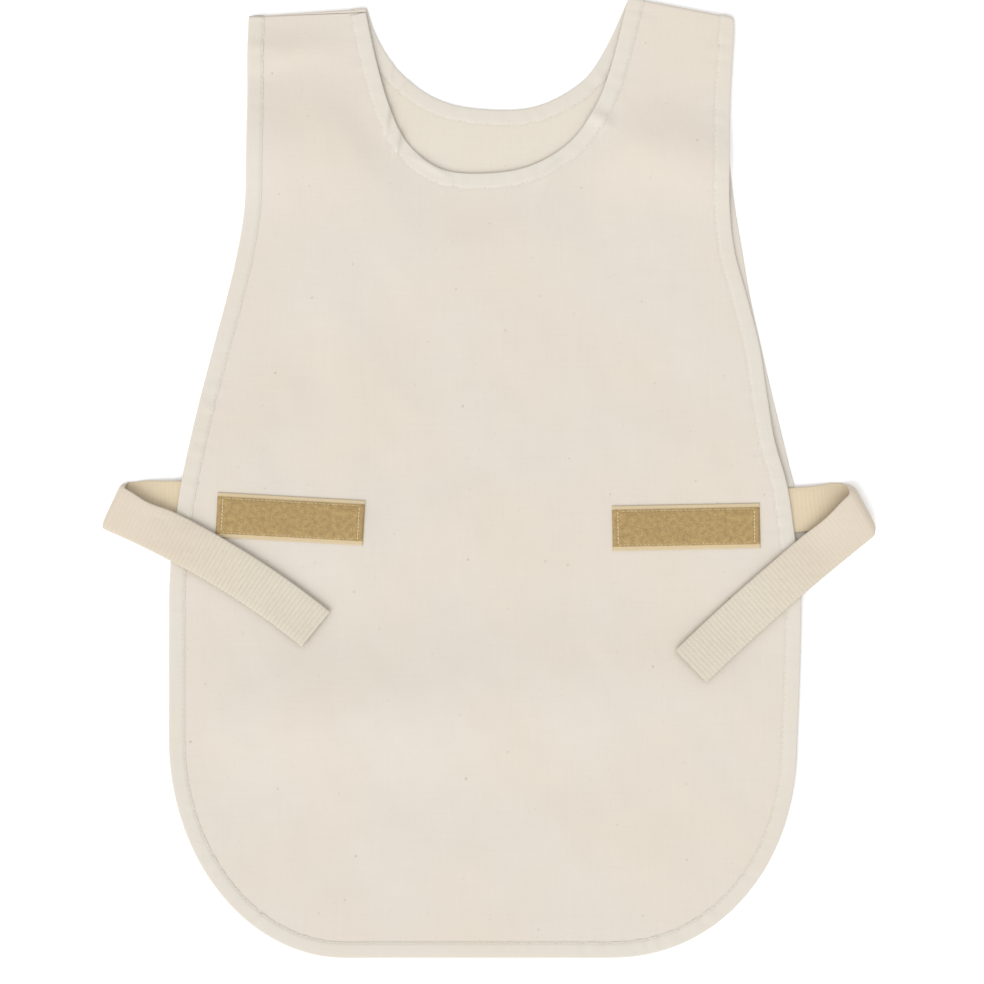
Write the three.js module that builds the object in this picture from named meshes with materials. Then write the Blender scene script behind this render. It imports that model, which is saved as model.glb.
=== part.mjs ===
// A child's cobbler apron of unbleached cotton canvas, lying flat on its back panel.
// Millimetres. +X is right as seen from above, +Y points to the shoulders, +Z is up.
// Each panel is drawn as a flat pattern, laid over the floor as a height above each point,
// and turned over at the shoulders along a fold line, where the two panels meet in a seam.
import * as THREE from 'three';

// Cloth, webbing, fastener tape and the air between two pieces
const canvas = 1.0;
const bindingCloth = 1.0;
const webbing = 1.5;
const loopPile = 1.6;
const hookPile = 1.4;
const clearance = 0.3;

// Body
const bodyLength = 525;
const bodyWidth = 352;
const bindingWidth = 9;
const leftCornerWidth = 98;
const rightCornerWidth = 105;
const cornerHeight = 122;
const leftCornerFullness = 2.0;
const rightCornerFullness = 2.12;
const backHemRise = 3;
const backTuck = 1.2;

// Neck
const neckWidth = 146;
const neckOffset = 6.7;
const frontNeckDrop = 88;
const backNeckDrop = 52;

// Shoulder fold
const foldRadius = 2.4;
const leftShoulderRise = 3.5;
const rightShoulderRise = 11.5;
const rightShoulderDrop = 1.6;

// How the cloth lies
const middlePile = 2.9;
const reliefHeight = 1.6;
const flatBorder = 15;
const sagReach = 95;
const shoulderReach = 42;
const swellBorder = 27;

// Straps
const strapWidth = 25;
const strapHeight = 251;
const strapLength = 195;
const loopRadius = 4.2;
const strapLanding = 30;
const rootMargin = 5;
const rootReach = 70;

// Fastener patches
const patchLength = 82;
const patchWidth = 25;
const hookLength = 50;
const hookMargin = 2;

// Colours of the finished cloths
const colours = {
  canvas: 0xe6dcd1,
  binding: 0xe7dfd2,
  webbing: 0xdcd3c2,
  loop: 0xb59a6a,
  hook: 0xcdbb96,
};

// Half widths of the body at shares of its length, as shares of half its width.
// The back panel shows past the front one on the right only.
const sideRows = [
  { up: 0.95, left: 0.751, right: 0.782, backRight: 0.78 },
  { up: 0.9, left: 0.751, right: 0.775, backRight: 0.773 },
  { up: 0.85, left: 0.754, right: 0.773, backRight: 0.775 },
  { up: 0.8, left: 0.759, right: 0.773, backRight: 0.79 },
  { up: 0.75, left: 0.782, right: 0.79, backRight: 0.814 },
  { up: 0.7, left: 0.817, right: 0.83, backRight: 0.84 },
  { up: 0.65, left: 0.857, right: 0.868, backRight: 0.873 },
  { up: 0.6, left: 0.896, right: 0.891, backRight: 0.907 },
  { up: 0.55, left: 0.931, right: 0.915, backRight: 0.943 },
  { up: 0.5, left: 0.962, right: 0.956, backRight: 0.98 },
  { up: 0.45, left: 0.984, right: 0.978, backRight: 1.018 },
  { up: 0.4, left: 0.997, right: 0.997, backRight: 1.008 },
  { up: 0.35, left: 1, right: 0.999, backRight: 0.993 },
  { up: 0.29, left: 1, right: 0.995, backRight: 0.985 },
];
const cornerRow = { left: 1, right: 0.988, backRight: 0.978 };

// Necklines: places across as shares of half the neck's width, depths as shares of the neck's drop.
const frontNeckRows = [
  { across: -0.924, drop: 0.277 },
  { across: -0.817, drop: 0.585 },
  { across: -0.679, drop: 0.811 },
  { across: -0.435, drop: 0.969 },
  { across: -0.115, drop: 1 },
  { across: 0.237, drop: 0.956 },
  { across: 0.542, drop: 0.811 },
  { across: 0.74, drop: 0.591 },
  { across: 0.87, drop: 0.321 },
];
const backNeckRows = [
  { across: -0.908, drop: 0.255 },
  { across: -0.733, drop: 0.617 },
  { across: -0.458, drop: 0.894 },
  { across: -0.13, drop: 1 },
  { across: 0.282, drop: 0.979 },
  { across: 0.634, drop: 0.723 },
  { across: 0.824, drop: 0.362 },
];

// Shoulders: where the fold's outer end lies, and where the seam lies on the fold's half turn,
// from 0 at the front layer to 1 at the back layer. Below 0 the seam lies forward on the front.
const shoulderRows = [
  { side: -1, outer: 0.748, fall: 0, rise: leftShoulderRise, seamOuter: 0.3, seamNeck: -0.2 },
  { side: 1, outer: 0.79, fall: rightShoulderDrop, rise: rightShoulderRise, seamOuter: 0.8, seamNeck: 0.8 },
];

// Swells and dents of the front, as rounded hills: centre and spread as shares of half the body's
// width and of its length, a turn in degrees, and a rise as a share of the relief height.
const swellRows = [
  { across: -0.56, up: 0.962, wide: 0.2, tall: 0.014, turn: 0, rise: 0.6 },
  { across: -0.52, up: 0.85, wide: 0.24, tall: 0.028, turn: -8, rise: 0.9 },
  { across: 0.6, up: 0.83, wide: 0.26, tall: 0.03, turn: -24, rise: 0.9 },
  { across: -0.1, up: 0.76, wide: 0.5, tall: 0.05, turn: 0, rise: 0.5 },
  { across: -0.35, up: 0.25, wide: 0.5, tall: 0.04, turn: 3, rise: 1 },
  { across: 0.3, up: 0.29, wide: 0.4, tall: 0.05, turn: -4, rise: 0.6 },
  { across: 0.1, up: 0.46, wide: 0.4, tall: 0.07, turn: 0, rise: 0.5 },
];

// Straps. As shares of their width: how much is tucked under the front, how far the sewn end sits
// above the common height and how far the strap slips down along its fold. As a share of the free
// length: how much comes before the fold. In degrees: the slope of the sewn run, the fold line's
// lean from upright, and the slopes of the upper run where it leaves the fold and where it ends.
const strapRows = [
  {
    name: 'left', side: -1, tuck: 0.72, rootUp: 0.09, slip: 0.15, rootShare: 0.213,
    rootSlope: 0, foldLean: 27.5, leaveSlope: 22.5, endSlope: 39,
  },
  {
    name: 'right', side: 1, tuck: 1.04, rootUp: -0.05, slip: 0.3, rootShare: 0.202,
    rootSlope: 5, foldLean: 32, leaveSlope: 38.5, endSlope: 44,
  },
];
const foldCone = 0.2;

// Loop patches: centre as shares of half the body's width and of the straps' height, and tilt in
// degrees.
const patchRows = [
  { name: 'left', across: -0.615, up: 0.974, tilt: -3.2 },
  { name: 'right', across: 0.6356, up: 0.956, tilt: 1.1 },
];

// Counts of the meshes
const bodyRows = 20;
const seamColumns = 3;
const neckColumns = 13;
const foldSteps = 6;
const cornerSteps = 6;
const edgeSamples = 160;
const strapSteps = { root: 6, fold: 6, upper: 12 };
const strapColumns = 2;
const patchSteps = 9;
const hookSteps = 6;

// Sizes that follow
const halfWidth = bodyWidth / 2;
const bindingHalf = canvas / 2 + clearance + bindingCloth;
const edgeInset = bindingCloth + clearance;
const boundPile = 2 * bindingHalf + clearance;
const halfTurn = Math.PI * foldRadius;
const foldStep = halfTurn / foldSteps;
const foldReach = foldRadius + canvas / 2;
const rootLift = webbing + clearance;
const strapSeat = canvas / 2 + 2 * clearance + Math.max(loopPile, hookPile, bindingCloth) + webbing / 2;

const { clamp, degToRad, lerp, smoothstep } = THREE.MathUtils;

// 1 up to the end of a flat stretch, then a smooth fall to 0.
function fadeOut(distance, flat, reach) {
  return 1 - smoothstep(distance, flat, flat + reach);
}

// The fold line of a shoulder, from its outer end to its neck end, and the way out over it.
function foldLine(row) {
  const outer = new THREE.Vector2(row.side * row.outer * halfWidth, bodyLength - foldReach - row.fall);
  const neck = new THREE.Vector2(neckOffset + row.side * neckWidth / 2, outer.y + row.rise);
  const along = neck.clone().sub(outer).normalize();
  const out = new THREE.Vector2(row.side * along.y, -row.side * along.x);
  return { ...row, outer, neck, out };
}
const [leftShoulder, rightShoulder] = shoulderRows.map(foldLine);

// How far a panel reaches over the fold, from the front layer or from the back layer.
function seamReach(layer, share) {
  const reach = (layer === 'front' ? share : 1 - share) * halfTurn;
  return reach - clearance / 2;
}

// The two ends of a panel's shoulder seam in its flat pattern.
function seamEnds(layer, shoulder) {
  const outerReach = seamReach(layer, shoulder.seamOuter);
  const neckReach = seamReach(layer, shoulder.seamNeck);
  return {
    outer: shoulder.outer.clone().addScaledVector(shoulder.out, outerReach),
    neck: shoulder.neck.clone().addScaledVector(shoulder.out, neckReach),
  };
}

// Half the body's width on one side of one layer at a row of the table.
function sideOf(layer, side, row) {
  if (side < 0) {
    return -row.left * halfWidth + (layer === 'back' ? backTuck : 0);
  }
  return (layer === 'back' ? row.backRight : row.right) * halfWidth;
}

// A rounded hem corner, from 0 at the side to 1 at the hem.
function cornerPoint(layer, side, turn) {
  const angle = turn * Math.PI / 2;
  const width = side < 0 ? leftCornerWidth : rightCornerWidth;
  const fullness = side < 0 ? leftCornerFullness : rightCornerFullness;
  const rise = layer === 'back' ? backHemRise : 0;
  const across = Math.cos(angle) ** (2 / fullness);
  const down = Math.sin(angle) ** (2 / fullness);
  const middle = sideOf(layer, side, cornerRow) - side * width;
  return new THREE.Vector2(middle + side * width * across, cornerHeight - (cornerHeight - rise) * down);
}

// Points of a corner between two turns, both ends included.
function cornerPoints(layer, side, from, to) {
  const points = [];
  for (let step = 0; step <= cornerSteps; step += 1) {
    points.push(cornerPoint(layer, side, lerp(from, to, step / cornerSteps)));
  }
  return points;
}

// One side, from the middle of its hem corner up to its end of the shoulder seam.
function sideCurve(layer, shoulder) {
  const rows = sideRows.map((row) => {
    return new THREE.Vector2(sideOf(layer, shoulder.side, row), row.up * bodyLength);
  });
  const corner = cornerPoints(layer, shoulder.side, 0.5, 0);
  return new THREE.SplineCurve([...corner, ...rows.reverse(), seamEnds(layer, shoulder).outer]);
}

// The hem, from the middle of one rounded corner to the middle of the other.
function hemCurve(layer) {
  const left = cornerPoints(layer, -1, 0.5, 1);
  const right = cornerPoints(layer, 1, 1, 0.5);
  const middle = new THREE.Vector2((left.at(-1).x + right[0].x) / 2, left.at(-1).y);
  return new THREE.SplineCurve([...left, middle, ...right]);
}

// The neckline, from the left shoulder seam to the right one.
function neckCurve(layer) {
  const rows = layer === 'front' ? frontNeckRows : backNeckRows;
  const drop = layer === 'front' ? frontNeckDrop : backNeckDrop;
  const points = rows.map((row) => {
    return new THREE.Vector2(neckOffset + row.across * neckWidth / 2, bodyLength - row.drop * drop);
  });
  return new THREE.SplineCurve([
    seamEnds(layer, leftShoulder).neck,
    ...points,
    seamEnds(layer, rightShoulder).neck,
  ]);
}

// The finished edges of one layer, with points along them to measure distances from.
function layerEdges(layer) {
  const left = sideCurve(layer, leftShoulder);
  const right = sideCurve(layer, rightShoulder);
  const hem = hemCurve(layer);
  const neck = neckCurve(layer);
  const samples = [left, right, hem, neck].flatMap((curve) => curve.getSpacedPoints(edgeSamples));
  return { layer, left, right, hem, neck, samples };
}
const front = layerEdges('front');
const back = layerEdges('back');

function edgeDistance(edges, x, y) {
  let nearest = Infinity;
  for (const sample of edges.samples) {
    nearest = Math.min(nearest, (sample.x - x) ** 2 + (sample.y - y) ** 2);
  }
  return Math.sqrt(nearest);
}

function shoulderAt(x) {
  return x < neckOffset ? leftShoulder : rightShoulder;
}

// Distance past the fold line, negative on the body.
function pastFold(x, y) {
  const { neck, out } = shoulderAt(x);
  return (x - neck.x) * out.x + (y - neck.y) * out.y;
}

// Height of the middle of the back panel's cloth. It lies on the floor and rises to its bound edges.
function backHeight(x, y) {
  const border = fadeOut(edgeDistance(back, x, y), flatBorder, sagReach);
  const shoulder = fadeOut(-pastFold(x, y), 0, shoulderReach);
  return lerp(canvas / 2, bindingHalf, Math.max(border, shoulder));
}

// The middle of a strap's sewn end, on the back panel's edge.
function rootPoint(row) {
  const curve = row.side < 0 ? back.left : back.right;
  const height = strapHeight + row.rootUp * strapWidth;
  const samples = curve.getSpacedPoints(edgeSamples);
  const above = samples.findIndex((sample) => sample.y > height);
  const [low, high] = samples.slice(above - 1, above + 1);
  return low.clone().lerp(high, (height - low.y) / (high.y - low.y));
}
const roots = strapRows.map(rootPoint);

// Lift of the front over the sewn ends of the straps.
function rootBump(x, y) {
  const distances = strapRows.map((row, index) => {
    const border = Math.hypot(row.tuck, 0.5) * strapWidth + rootMargin;
    return Math.hypot(roots[index].x - x, roots[index].y - y) - border;
  });
  return rootLift * fadeOut(Math.min(...distances), 0, rootReach);
}

// Sum of the swells, each a rounded hill along its own turned axes.
function swells(x, y) {
  let height = 0;
  for (const row of swellRows) {
    const turn = degToRad(row.turn);
    const dx = x - row.across * halfWidth;
    const dy = y - row.up * bodyLength;
    const along = (dx * Math.cos(turn) + dy * Math.sin(turn)) / (row.wide * halfWidth);
    const away = (dy * Math.cos(turn) - dx * Math.sin(turn)) / (row.tall * bodyLength);
    height += row.rise * reliefHeight * Math.exp(-(along * along + away * away) / 2);
  }
  return height;
}

// Height of the middle of the front panel's cloth, as a pile on the back's.
function frontHeight(x, y) {
  const distance = edgeDistance(front, x, y);
  const border = fadeOut(distance, flatBorder, sagReach);
  const relief = swells(x, y) * clamp(distance / swellBorder, 0, 1);
  const pile = lerp(middlePile, boundPile, border) + relief + rootBump(x, y);
  const shoulder = fadeOut(-pastFold(x, y), 0, shoulderReach);
  return backHeight(x, y) + lerp(pile, 2 * foldRadius, shoulder);
}

// A point of a layer's flat pattern in space, a given distance above the middle of its cloth.
// Past the fold line it goes round the half turn and then on over the other layer.
function place(layer, point, offset) {
  const past = pastFold(point.x, point.y);
  if (past <= 0) {
    const height = layer === 'front' ? frontHeight(point.x, point.y) : backHeight(point.x, point.y);
    return new THREE.Vector3(point.x, point.y, height + offset);
  }
  const { out } = shoulderAt(point.x);
  const angle = Math.min(past / foldRadius, Math.PI);
  const beyond = Math.max(past - halfTurn, 0);
  const facing = layer === 'front' ? 1 : -1;
  const radius = foldRadius + facing * offset;
  const reach = radius * Math.sin(angle) - beyond - past;
  const centre = bindingHalf + foldRadius;
  return new THREE.Vector3(
    point.x + out.x * reach,
    point.y + out.y * reach,
    centre + facing * radius * Math.cos(angle),
  );
}

// A closed body from points and triangles, with its faces turned outwards.
function closedGeometry(points, faces) {
  let volume = 0;
  for (const [a, b, c] of faces) {
    volume += points[a].dot(points[b].clone().cross(points[c]));
  }
  const outward = volume > 0 ? faces : faces.map(([a, b, c]) => [a, c, b]);
  const geometry = new THREE.BufferGeometry().setFromPoints(points);
  geometry.setIndex(outward.flat());
  geometry.computeVertexNormals();
  return geometry;
}

// A sheet between an upper and a lower grid of points, closed by a rim.
function sheetGeometry(upper, lower) {
  const columns = upper.length;
  const rows = upper[0].length;
  const points = [...upper.flat(), ...lower.flat()];
  const under = columns * rows;
  const at = (column, row) => column * rows + row;
  const faces = [];
  const quad = (a, b, c, d) => faces.push([a, b, c], [a, c, d]);
  for (let column = 0; column < columns - 1; column += 1) {
    for (let row = 0; row < rows - 1; row += 1) {
      const corners = [at(column, row), at(column + 1, row), at(column + 1, row + 1), at(column, row + 1)];
      const [a, b, c, d] = corners;
      quad(a, b, c, d);
      quad(under + a, under + d, under + c, under + b);
    }
  }
  const rim = [];
  for (let column = 0; column < columns - 1; column += 1) rim.push(at(column, 0));
  for (let row = 0; row < rows - 1; row += 1) rim.push(at(columns - 1, row));
  for (let column = columns - 1; column > 0; column -= 1) rim.push(at(column, rows - 1));
  for (let row = rows - 1; row > 0; row -= 1) rim.push(at(0, row));
  rim.forEach((here, index) => {
    const next = rim[(index + 1) % rim.length];
    quad(under + here, under + next, next, here);
  });
  return closedGeometry(points, faces);
}

// A section carried along a path: rings of points, joined and capped.
function sweepGeometry(rings, outline) {
  const count = outline.length;
  const points = rings.flat();
  const faces = [];
  for (let ring = 0; ring < rings.length - 1; ring += 1) {
    for (let corner = 0; corner < count; corner += 1) {
      const next = (corner + 1) % count;
      const here = ring * count;
      const there = here + count;
      faces.push([here + corner, there + corner, there + next], [here + corner, there + next, here + next]);
    }
  }
  const cap = THREE.ShapeUtils.triangulateShape(outline, []);
  const last = (rings.length - 1) * count;
  const turned = THREE.ShapeUtils.isClockWise(outline);
  for (const [a, b, c] of cap) {
    const [first, second] = turned ? [b, a] : [a, b];
    faces.push([first, second, c], [last + second, last + first, last + c]);
  }
  return closedGeometry(points, faces);
}

// Places along a length: fine steps at its start and its end, and a graded run between them.
function gradedShares(length, fineStart, fineEnd, count, grading) {
  const first = fineStart * foldStep;
  const last = length - fineEnd * foldStep;
  const distances = [];
  for (let step = 0; step < fineStart; step += 1) distances.push(step * foldStep);
  for (let step = 0; step <= count; step += 1) {
    const share = step / count;
    const eased = share - grading * Math.sin(2 * Math.PI * share) / (2 * Math.PI);
    distances.push(lerp(first, last, eased));
  }
  for (let step = fineEnd - 1; step >= 0; step -= 1) distances.push(length - step * foldStep);
  return distances.map((distance) => clamp(distance / length, 0, 1));
}

// Points of a curve with the way into the cloth at each: turn is 1 for cloth on the left of the
// curve's way and -1 for cloth on its right.
function stations(curve, shares, turn) {
  return shares.map((share) => {
    const point = curve.getPointAt(share);
    const tangent = curve.getTangentAt(share);
    return { point, inward: new THREE.Vector2(-tangent.y * turn, tangent.x * turn) };
  });
}

function inset(station, depth) {
  return station.point.clone().addScaledVector(station.inward, depth);
}

// Whole fold steps that a layer takes at a shoulder.
function stepsOver(layer, shoulder) {
  const reach = Math.max(seamReach(layer, shoulder.seamOuter), seamReach(layer, shoulder.seamNeck));
  return Math.max(1, Math.ceil(reach / foldStep));
}

// The stations of a layer's bound edges. The panel's grid ends on them, and its bindings follow them.
function layerStations(edges) {
  const { layer } = edges;
  const leftSteps = stepsOver(layer, leftShoulder);
  const rightSteps = stepsOver(layer, rightShoulder);
  const fineRows = Math.max(leftSteps, rightSteps);
  const sideShares = (curve) => gradedShares(curve.getLength(), 0, fineRows, bodyRows, 0.35);
  const neckShares = gradedShares(edges.neck.getLength(), leftSteps, rightSteps, neckColumns, 0);
  const left = stations(edges.left, sideShares(edges.left), -1);
  const right = stations(edges.right, sideShares(edges.right), 1);
  const neck = stations(edges.neck, neckShares, -1);
  const columnCount = 2 * seamColumns + neck.length - 1;
  const hemShares = Array.from({ length: columnCount + 1 }, (_, index) => index / columnCount);
  const hem = stations(edges.hem, hemShares, 1);
  return { left, right, neck, hem };
}

// The flat pattern's grid: a patch blended between the two sides, the hem and the top edge, which
// is the left seam, the neckline and the right seam.
function patternGrid(edgeStations) {
  const cut = (list) => list.map((station) => inset(station, edgeInset));
  const left = cut(edgeStations.left);
  const right = cut(edgeStations.right);
  const hem = cut(edgeStations.hem);
  const neck = cut(edgeStations.neck);
  const seam = (from, to) => {
    return Array.from({ length: seamColumns }, (_, index) => from.clone().lerp(to, index / seamColumns));
  };
  const rightSeam = seam(right.at(-1), neck.at(-1)).reverse();
  const top = [...seam(left.at(-1), neck[0]), ...neck, ...rightSeam];
  hem[0].copy(left[0]);
  hem.at(-1).copy(right[0]);
  const height = left.at(-1).y - left[0].y;
  return top.map((topPoint, column) => {
    const u = column / (top.length - 1);
    return left.map((leftPoint, row) => {
      const v = (leftPoint.y - left[0].y) / height;
      const corners = new THREE.Vector2()
        .addScaledVector(left[0], (1 - u) * (1 - v))
        .addScaledVector(right[0], u * (1 - v))
        .addScaledVector(left.at(-1), (1 - u) * v)
        .addScaledVector(right.at(-1), u * v);
      return new THREE.Vector2()
        .addScaledVector(hem[column], 1 - v)
        .addScaledVector(topPoint, v)
        .addScaledVector(leftPoint, 1 - u)
        .addScaledVector(right[row], u)
        .sub(corners);
    });
  });
}

function panelGeometry(layer, edgeStations) {
  const grid = patternGrid(edgeStations);
  const raise = (offset) => grid.map((column) => column.map((point) => place(layer, point, offset)));
  return sheetGeometry(raise(canvas / 2), raise(-canvas / 2));
}

// The binding is a folded strip: a long U that holds the panel's cut edge between its two legs.
// Its section runs along the cloth from the fold at 0, and above and below the cloth's middle.
const legInner = canvas / 2 + clearance;
const bindingOutline = [
  new THREE.Vector2(bindingWidth, bindingHalf),
  new THREE.Vector2(0, bindingHalf),
  new THREE.Vector2(0, -bindingHalf),
  new THREE.Vector2(bindingWidth, -bindingHalf),
  new THREE.Vector2(bindingWidth, -legInner),
  new THREE.Vector2(bindingCloth, -legInner),
  new THREE.Vector2(bindingCloth, legInner),
  new THREE.Vector2(bindingWidth, legInner),
];

function bindingGeometry(layer, path) {
  const rings = path.map((station) => {
    return bindingOutline.map((corner) => place(layer, inset(station, corner.x), corner.y));
  });
  return sweepGeometry(rings, bindingOutline);
}

// Down the left side, along the hem and up the right side.
function sidePath({ left, hem, right }) {
  return [...left.slice(1).reverse(), ...hem, ...right.slice(1)];
}

// The way across a strap, upwards, for a lean from upright towards the body.
function acrossStrap(side, degrees) {
  const lean = degToRad(degrees);
  return new THREE.Vector2(-side * Math.sin(lean), Math.cos(lean));
}

// The way along a strap, outwards from the body, square to its width.
function outFrom(across, side) {
  return new THREE.Vector2(across.y * side, -across.x * side);
}

// A strap's sections from its sewn end to its free end: its middle, the way across it, and the
// heights of the cloth's middle at its lower and its upper edge.
function strapSections(row) {
  const { side } = row;
  const root = roots[strapRows.indexOf(row)];
  const rootOut = outFrom(acrossStrap(side, row.rootSlope), side);
  const turnReach = loopRadius + webbing / 2;
  const tuck = row.tuck * strapWidth;
  const free = strapLength - tuck;
  const rootRun = row.rootShare * free - turnReach;
  const upperRun = free - rootRun - Math.PI * loopRadius;
  const rootHeight = 2 * bindingHalf + clearance + webbing / 2;
  const floorHeight = webbing / 2;
  const upperRadius = loopRadius * (1 + foldCone);
  const lowerRadius = loopRadius * (1 - foldCone);
  const slip = row.slip * strapWidth;
  const axis = root.clone().addScaledVector(rootOut, rootRun);
  const sections = [];

  const runs = [-tuck, 0];
  for (let step = 1; step <= strapSteps.root; step += 1) {
    runs.push(bindingWidth / 4 + (rootRun - bindingWidth / 4) * step / strapSteps.root);
  }
  for (const run of runs) {
    const share = smoothstep(run, bindingWidth / 4, rootRun);
    const height = lerp(rootHeight, floorHeight, share);
    const middle = root.clone().addScaledVector(rootOut, run);
    const across = acrossStrap(side, lerp(row.rootSlope, row.foldLean, share * share));
    sections.push({ middle, across, low: height, high: height, lowOut: 0, highOut: 0 });
  }

  const foldAcross = acrossStrap(side, row.foldLean);
  for (let step = 1; step < strapSteps.fold; step += 1) {
    const angle = Math.PI * step / strapSteps.fold;
    sections.push({
      middle: axis.clone().addScaledVector(foldAcross, -slip * step / strapSteps.fold),
      across: foldAcross,
      low: floorHeight + lowerRadius * (1 - Math.cos(angle)),
      high: floorHeight + upperRadius * (1 - Math.cos(angle)),
      lowOut: lowerRadius * Math.sin(angle),
      highOut: upperRadius * Math.sin(angle),
    });
  }

  const middle = axis.clone().addScaledVector(foldAcross, -slip);
  const stepLength = upperRun / strapSteps.upper;
  for (let step = 0; step <= strapSteps.upper; step += 1) {
    const slope = lerp(row.leaveSlope, row.endSlope, step / strapSteps.upper);
    const settle = smoothstep(step * stepLength, 0, strapWidth);
    const across = acrossStrap(side, lerp(row.foldLean, slope, settle));
    const landing = smoothstep(step * stepLength, 0, strapLanding);
    const edgeHeight = (half, radius) => {
      const edge = middle.clone().addScaledVector(across, half * strapWidth);
      const lying = frontHeight(edge.x, edge.y) + strapSeat;
      return lerp(floorHeight + 2 * radius, lying, landing);
    };
    sections.push({
      middle: middle.clone(),
      across,
      low: edgeHeight(-0.5, lowerRadius),
      high: edgeHeight(0.5, upperRadius),
      lowOut: 0,
      highOut: 0,
    });
    const headingSlope = lerp(row.leaveSlope, row.endSlope, (step + 0.5) / strapSteps.upper);
    middle.addScaledVector(outFrom(acrossStrap(side, headingSlope), side), -stepLength);
  }
  return sections;
}

// A point of a strap's middle cloth, from its lower edge at 0 to its upper edge at 1.
function strapPoint(section, side, share) {
  const out = outFrom(section.across, side).multiplyScalar(lerp(section.lowOut, section.highOut, share));
  const flat = section.middle.clone().addScaledVector(section.across, (share - 0.5) * strapWidth).add(out);
  return new THREE.Vector3(flat.x, flat.y, lerp(section.low, section.high, share));
}

// The strap is a band of even thickness about the sections' middle cloth.
function strapGeometry(row, sections) {
  const middles = sections.map((section) => {
    return Array.from({ length: strapColumns + 1 }, (_, index) => {
      return strapPoint(section, row.side, index / strapColumns);
    });
  });
  const offset = (distance) => middles.map((points, index) => {
    const before = middles[Math.max(index - 1, 0)];
    const after = middles[Math.min(index + 1, middles.length - 1)];
    return points.map((point, column) => {
      const along = after[column].clone().sub(before[column]);
      const width = points.at(-1).clone().sub(points[0]);
      return point.clone().addScaledVector(along.cross(width).normalize(), distance);
    });
  });
  return sheetGeometry(offset(webbing / 2), offset(-webbing / 2));
}

// A flat piece of tape lying on the front: a grid of lengths and widths about a centre.
function tapeGeometry(centre, turn, length, width, steps, bottom, thickness) {
  const along = new THREE.Vector2(Math.cos(turn), Math.sin(turn));
  const across = new THREE.Vector2(-along.y, along.x);
  const grid = (offset) => Array.from({ length: steps + 1 }, (_, column) => {
    return [-0.5, 0, 0.5].map((share) => {
      const flat = centre.clone()
        .addScaledVector(along, (column / steps - 0.5) * length)
        .addScaledVector(across, share * width);
      return new THREE.Vector3(flat.x, flat.y, frontHeight(flat.x, flat.y) + offset);
    });
  });
  return sheetGeometry(grid(bottom + thickness), grid(bottom));
}

function loopPatchGeometry(row) {
  const centre = new THREE.Vector2(row.across * halfWidth, row.up * strapHeight);
  const bottom = canvas / 2 + clearance;
  return tapeGeometry(centre, degToRad(row.tilt), patchLength, patchWidth, patchSteps, bottom, loopPile);
}

// The hook patch lies under the strap's free end, a margin in from its edges.
function hookPatchGeometry(row, sections) {
  const end = sections.at(-1).middle;
  const out = outFrom(acrossStrap(row.side, row.endSlope), row.side);
  const centre = end.clone().addScaledVector(out, hookMargin + hookLength / 2);
  const bottom = strapSeat - webbing / 2 - clearance - hookPile;
  const width = strapWidth - 2 * hookMargin;
  const turn = Math.atan2(out.y, out.x);
  return tapeGeometry(centre, turn, hookLength, width, hookSteps, bottom, hookPile);
}

function clothMesh(name, geometry, color, roughness) {
  const material = new THREE.MeshStandardMaterial({ color, roughness, metalness: 0 });
  const mesh = new THREE.Mesh(geometry, material);
  mesh.name = name;
  return mesh;
}

const apron = new THREE.Group();
for (const edges of [front, back]) {
  const { layer } = edges;
  const edgeStations = layerStations(edges);
  apron.add(
    clothMesh(`${layer}_panel`, panelGeometry(layer, edgeStations), colours.canvas, 0.9),
    clothMesh(`${layer}_side_binding`, bindingGeometry(layer, sidePath(edgeStations)), colours.binding, 0.9),
    clothMesh(`${layer}_neck_binding`, bindingGeometry(layer, edgeStations.neck), colours.binding, 0.9),
  );
}
for (const row of strapRows) {
  const sections = strapSections(row);
  apron.add(
    clothMesh(`${row.name}_strap`, strapGeometry(row, sections), colours.webbing, 0.85),
    clothMesh(`${row.name}_hook_patch`, hookPatchGeometry(row, sections), colours.hook, 0.8),
  );
}
for (const row of patchRows) {
  apron.add(clothMesh(`${row.name}_loop_patch`, loopPatchGeometry(row), colours.loop, 0.95));
}

// The origin is on the floor under the middle of the whole apron.
const extent = new THREE.Box3().setFromObject(apron);
const middle = extent.getCenter(new THREE.Vector3());
apron.position.set(-middle.x, -middle.y, -extent.min.z);

export default apron;
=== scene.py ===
# %% [markdown]
# # A child's cobbler apron of unbleached cotton canvas
# The apron lies flat, front up: two canvas panels joined at the shoulders, a folded strip round
# every edge, two webbing straps flopped over the front, and tan loop tape where they fasten.
# Every cloth piece is worked out as a height over its flat pattern, because that keeps the real
# cut of the cloth and lets the seams, folds and stitches follow the same lines.

import math
from functools import partial

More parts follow.
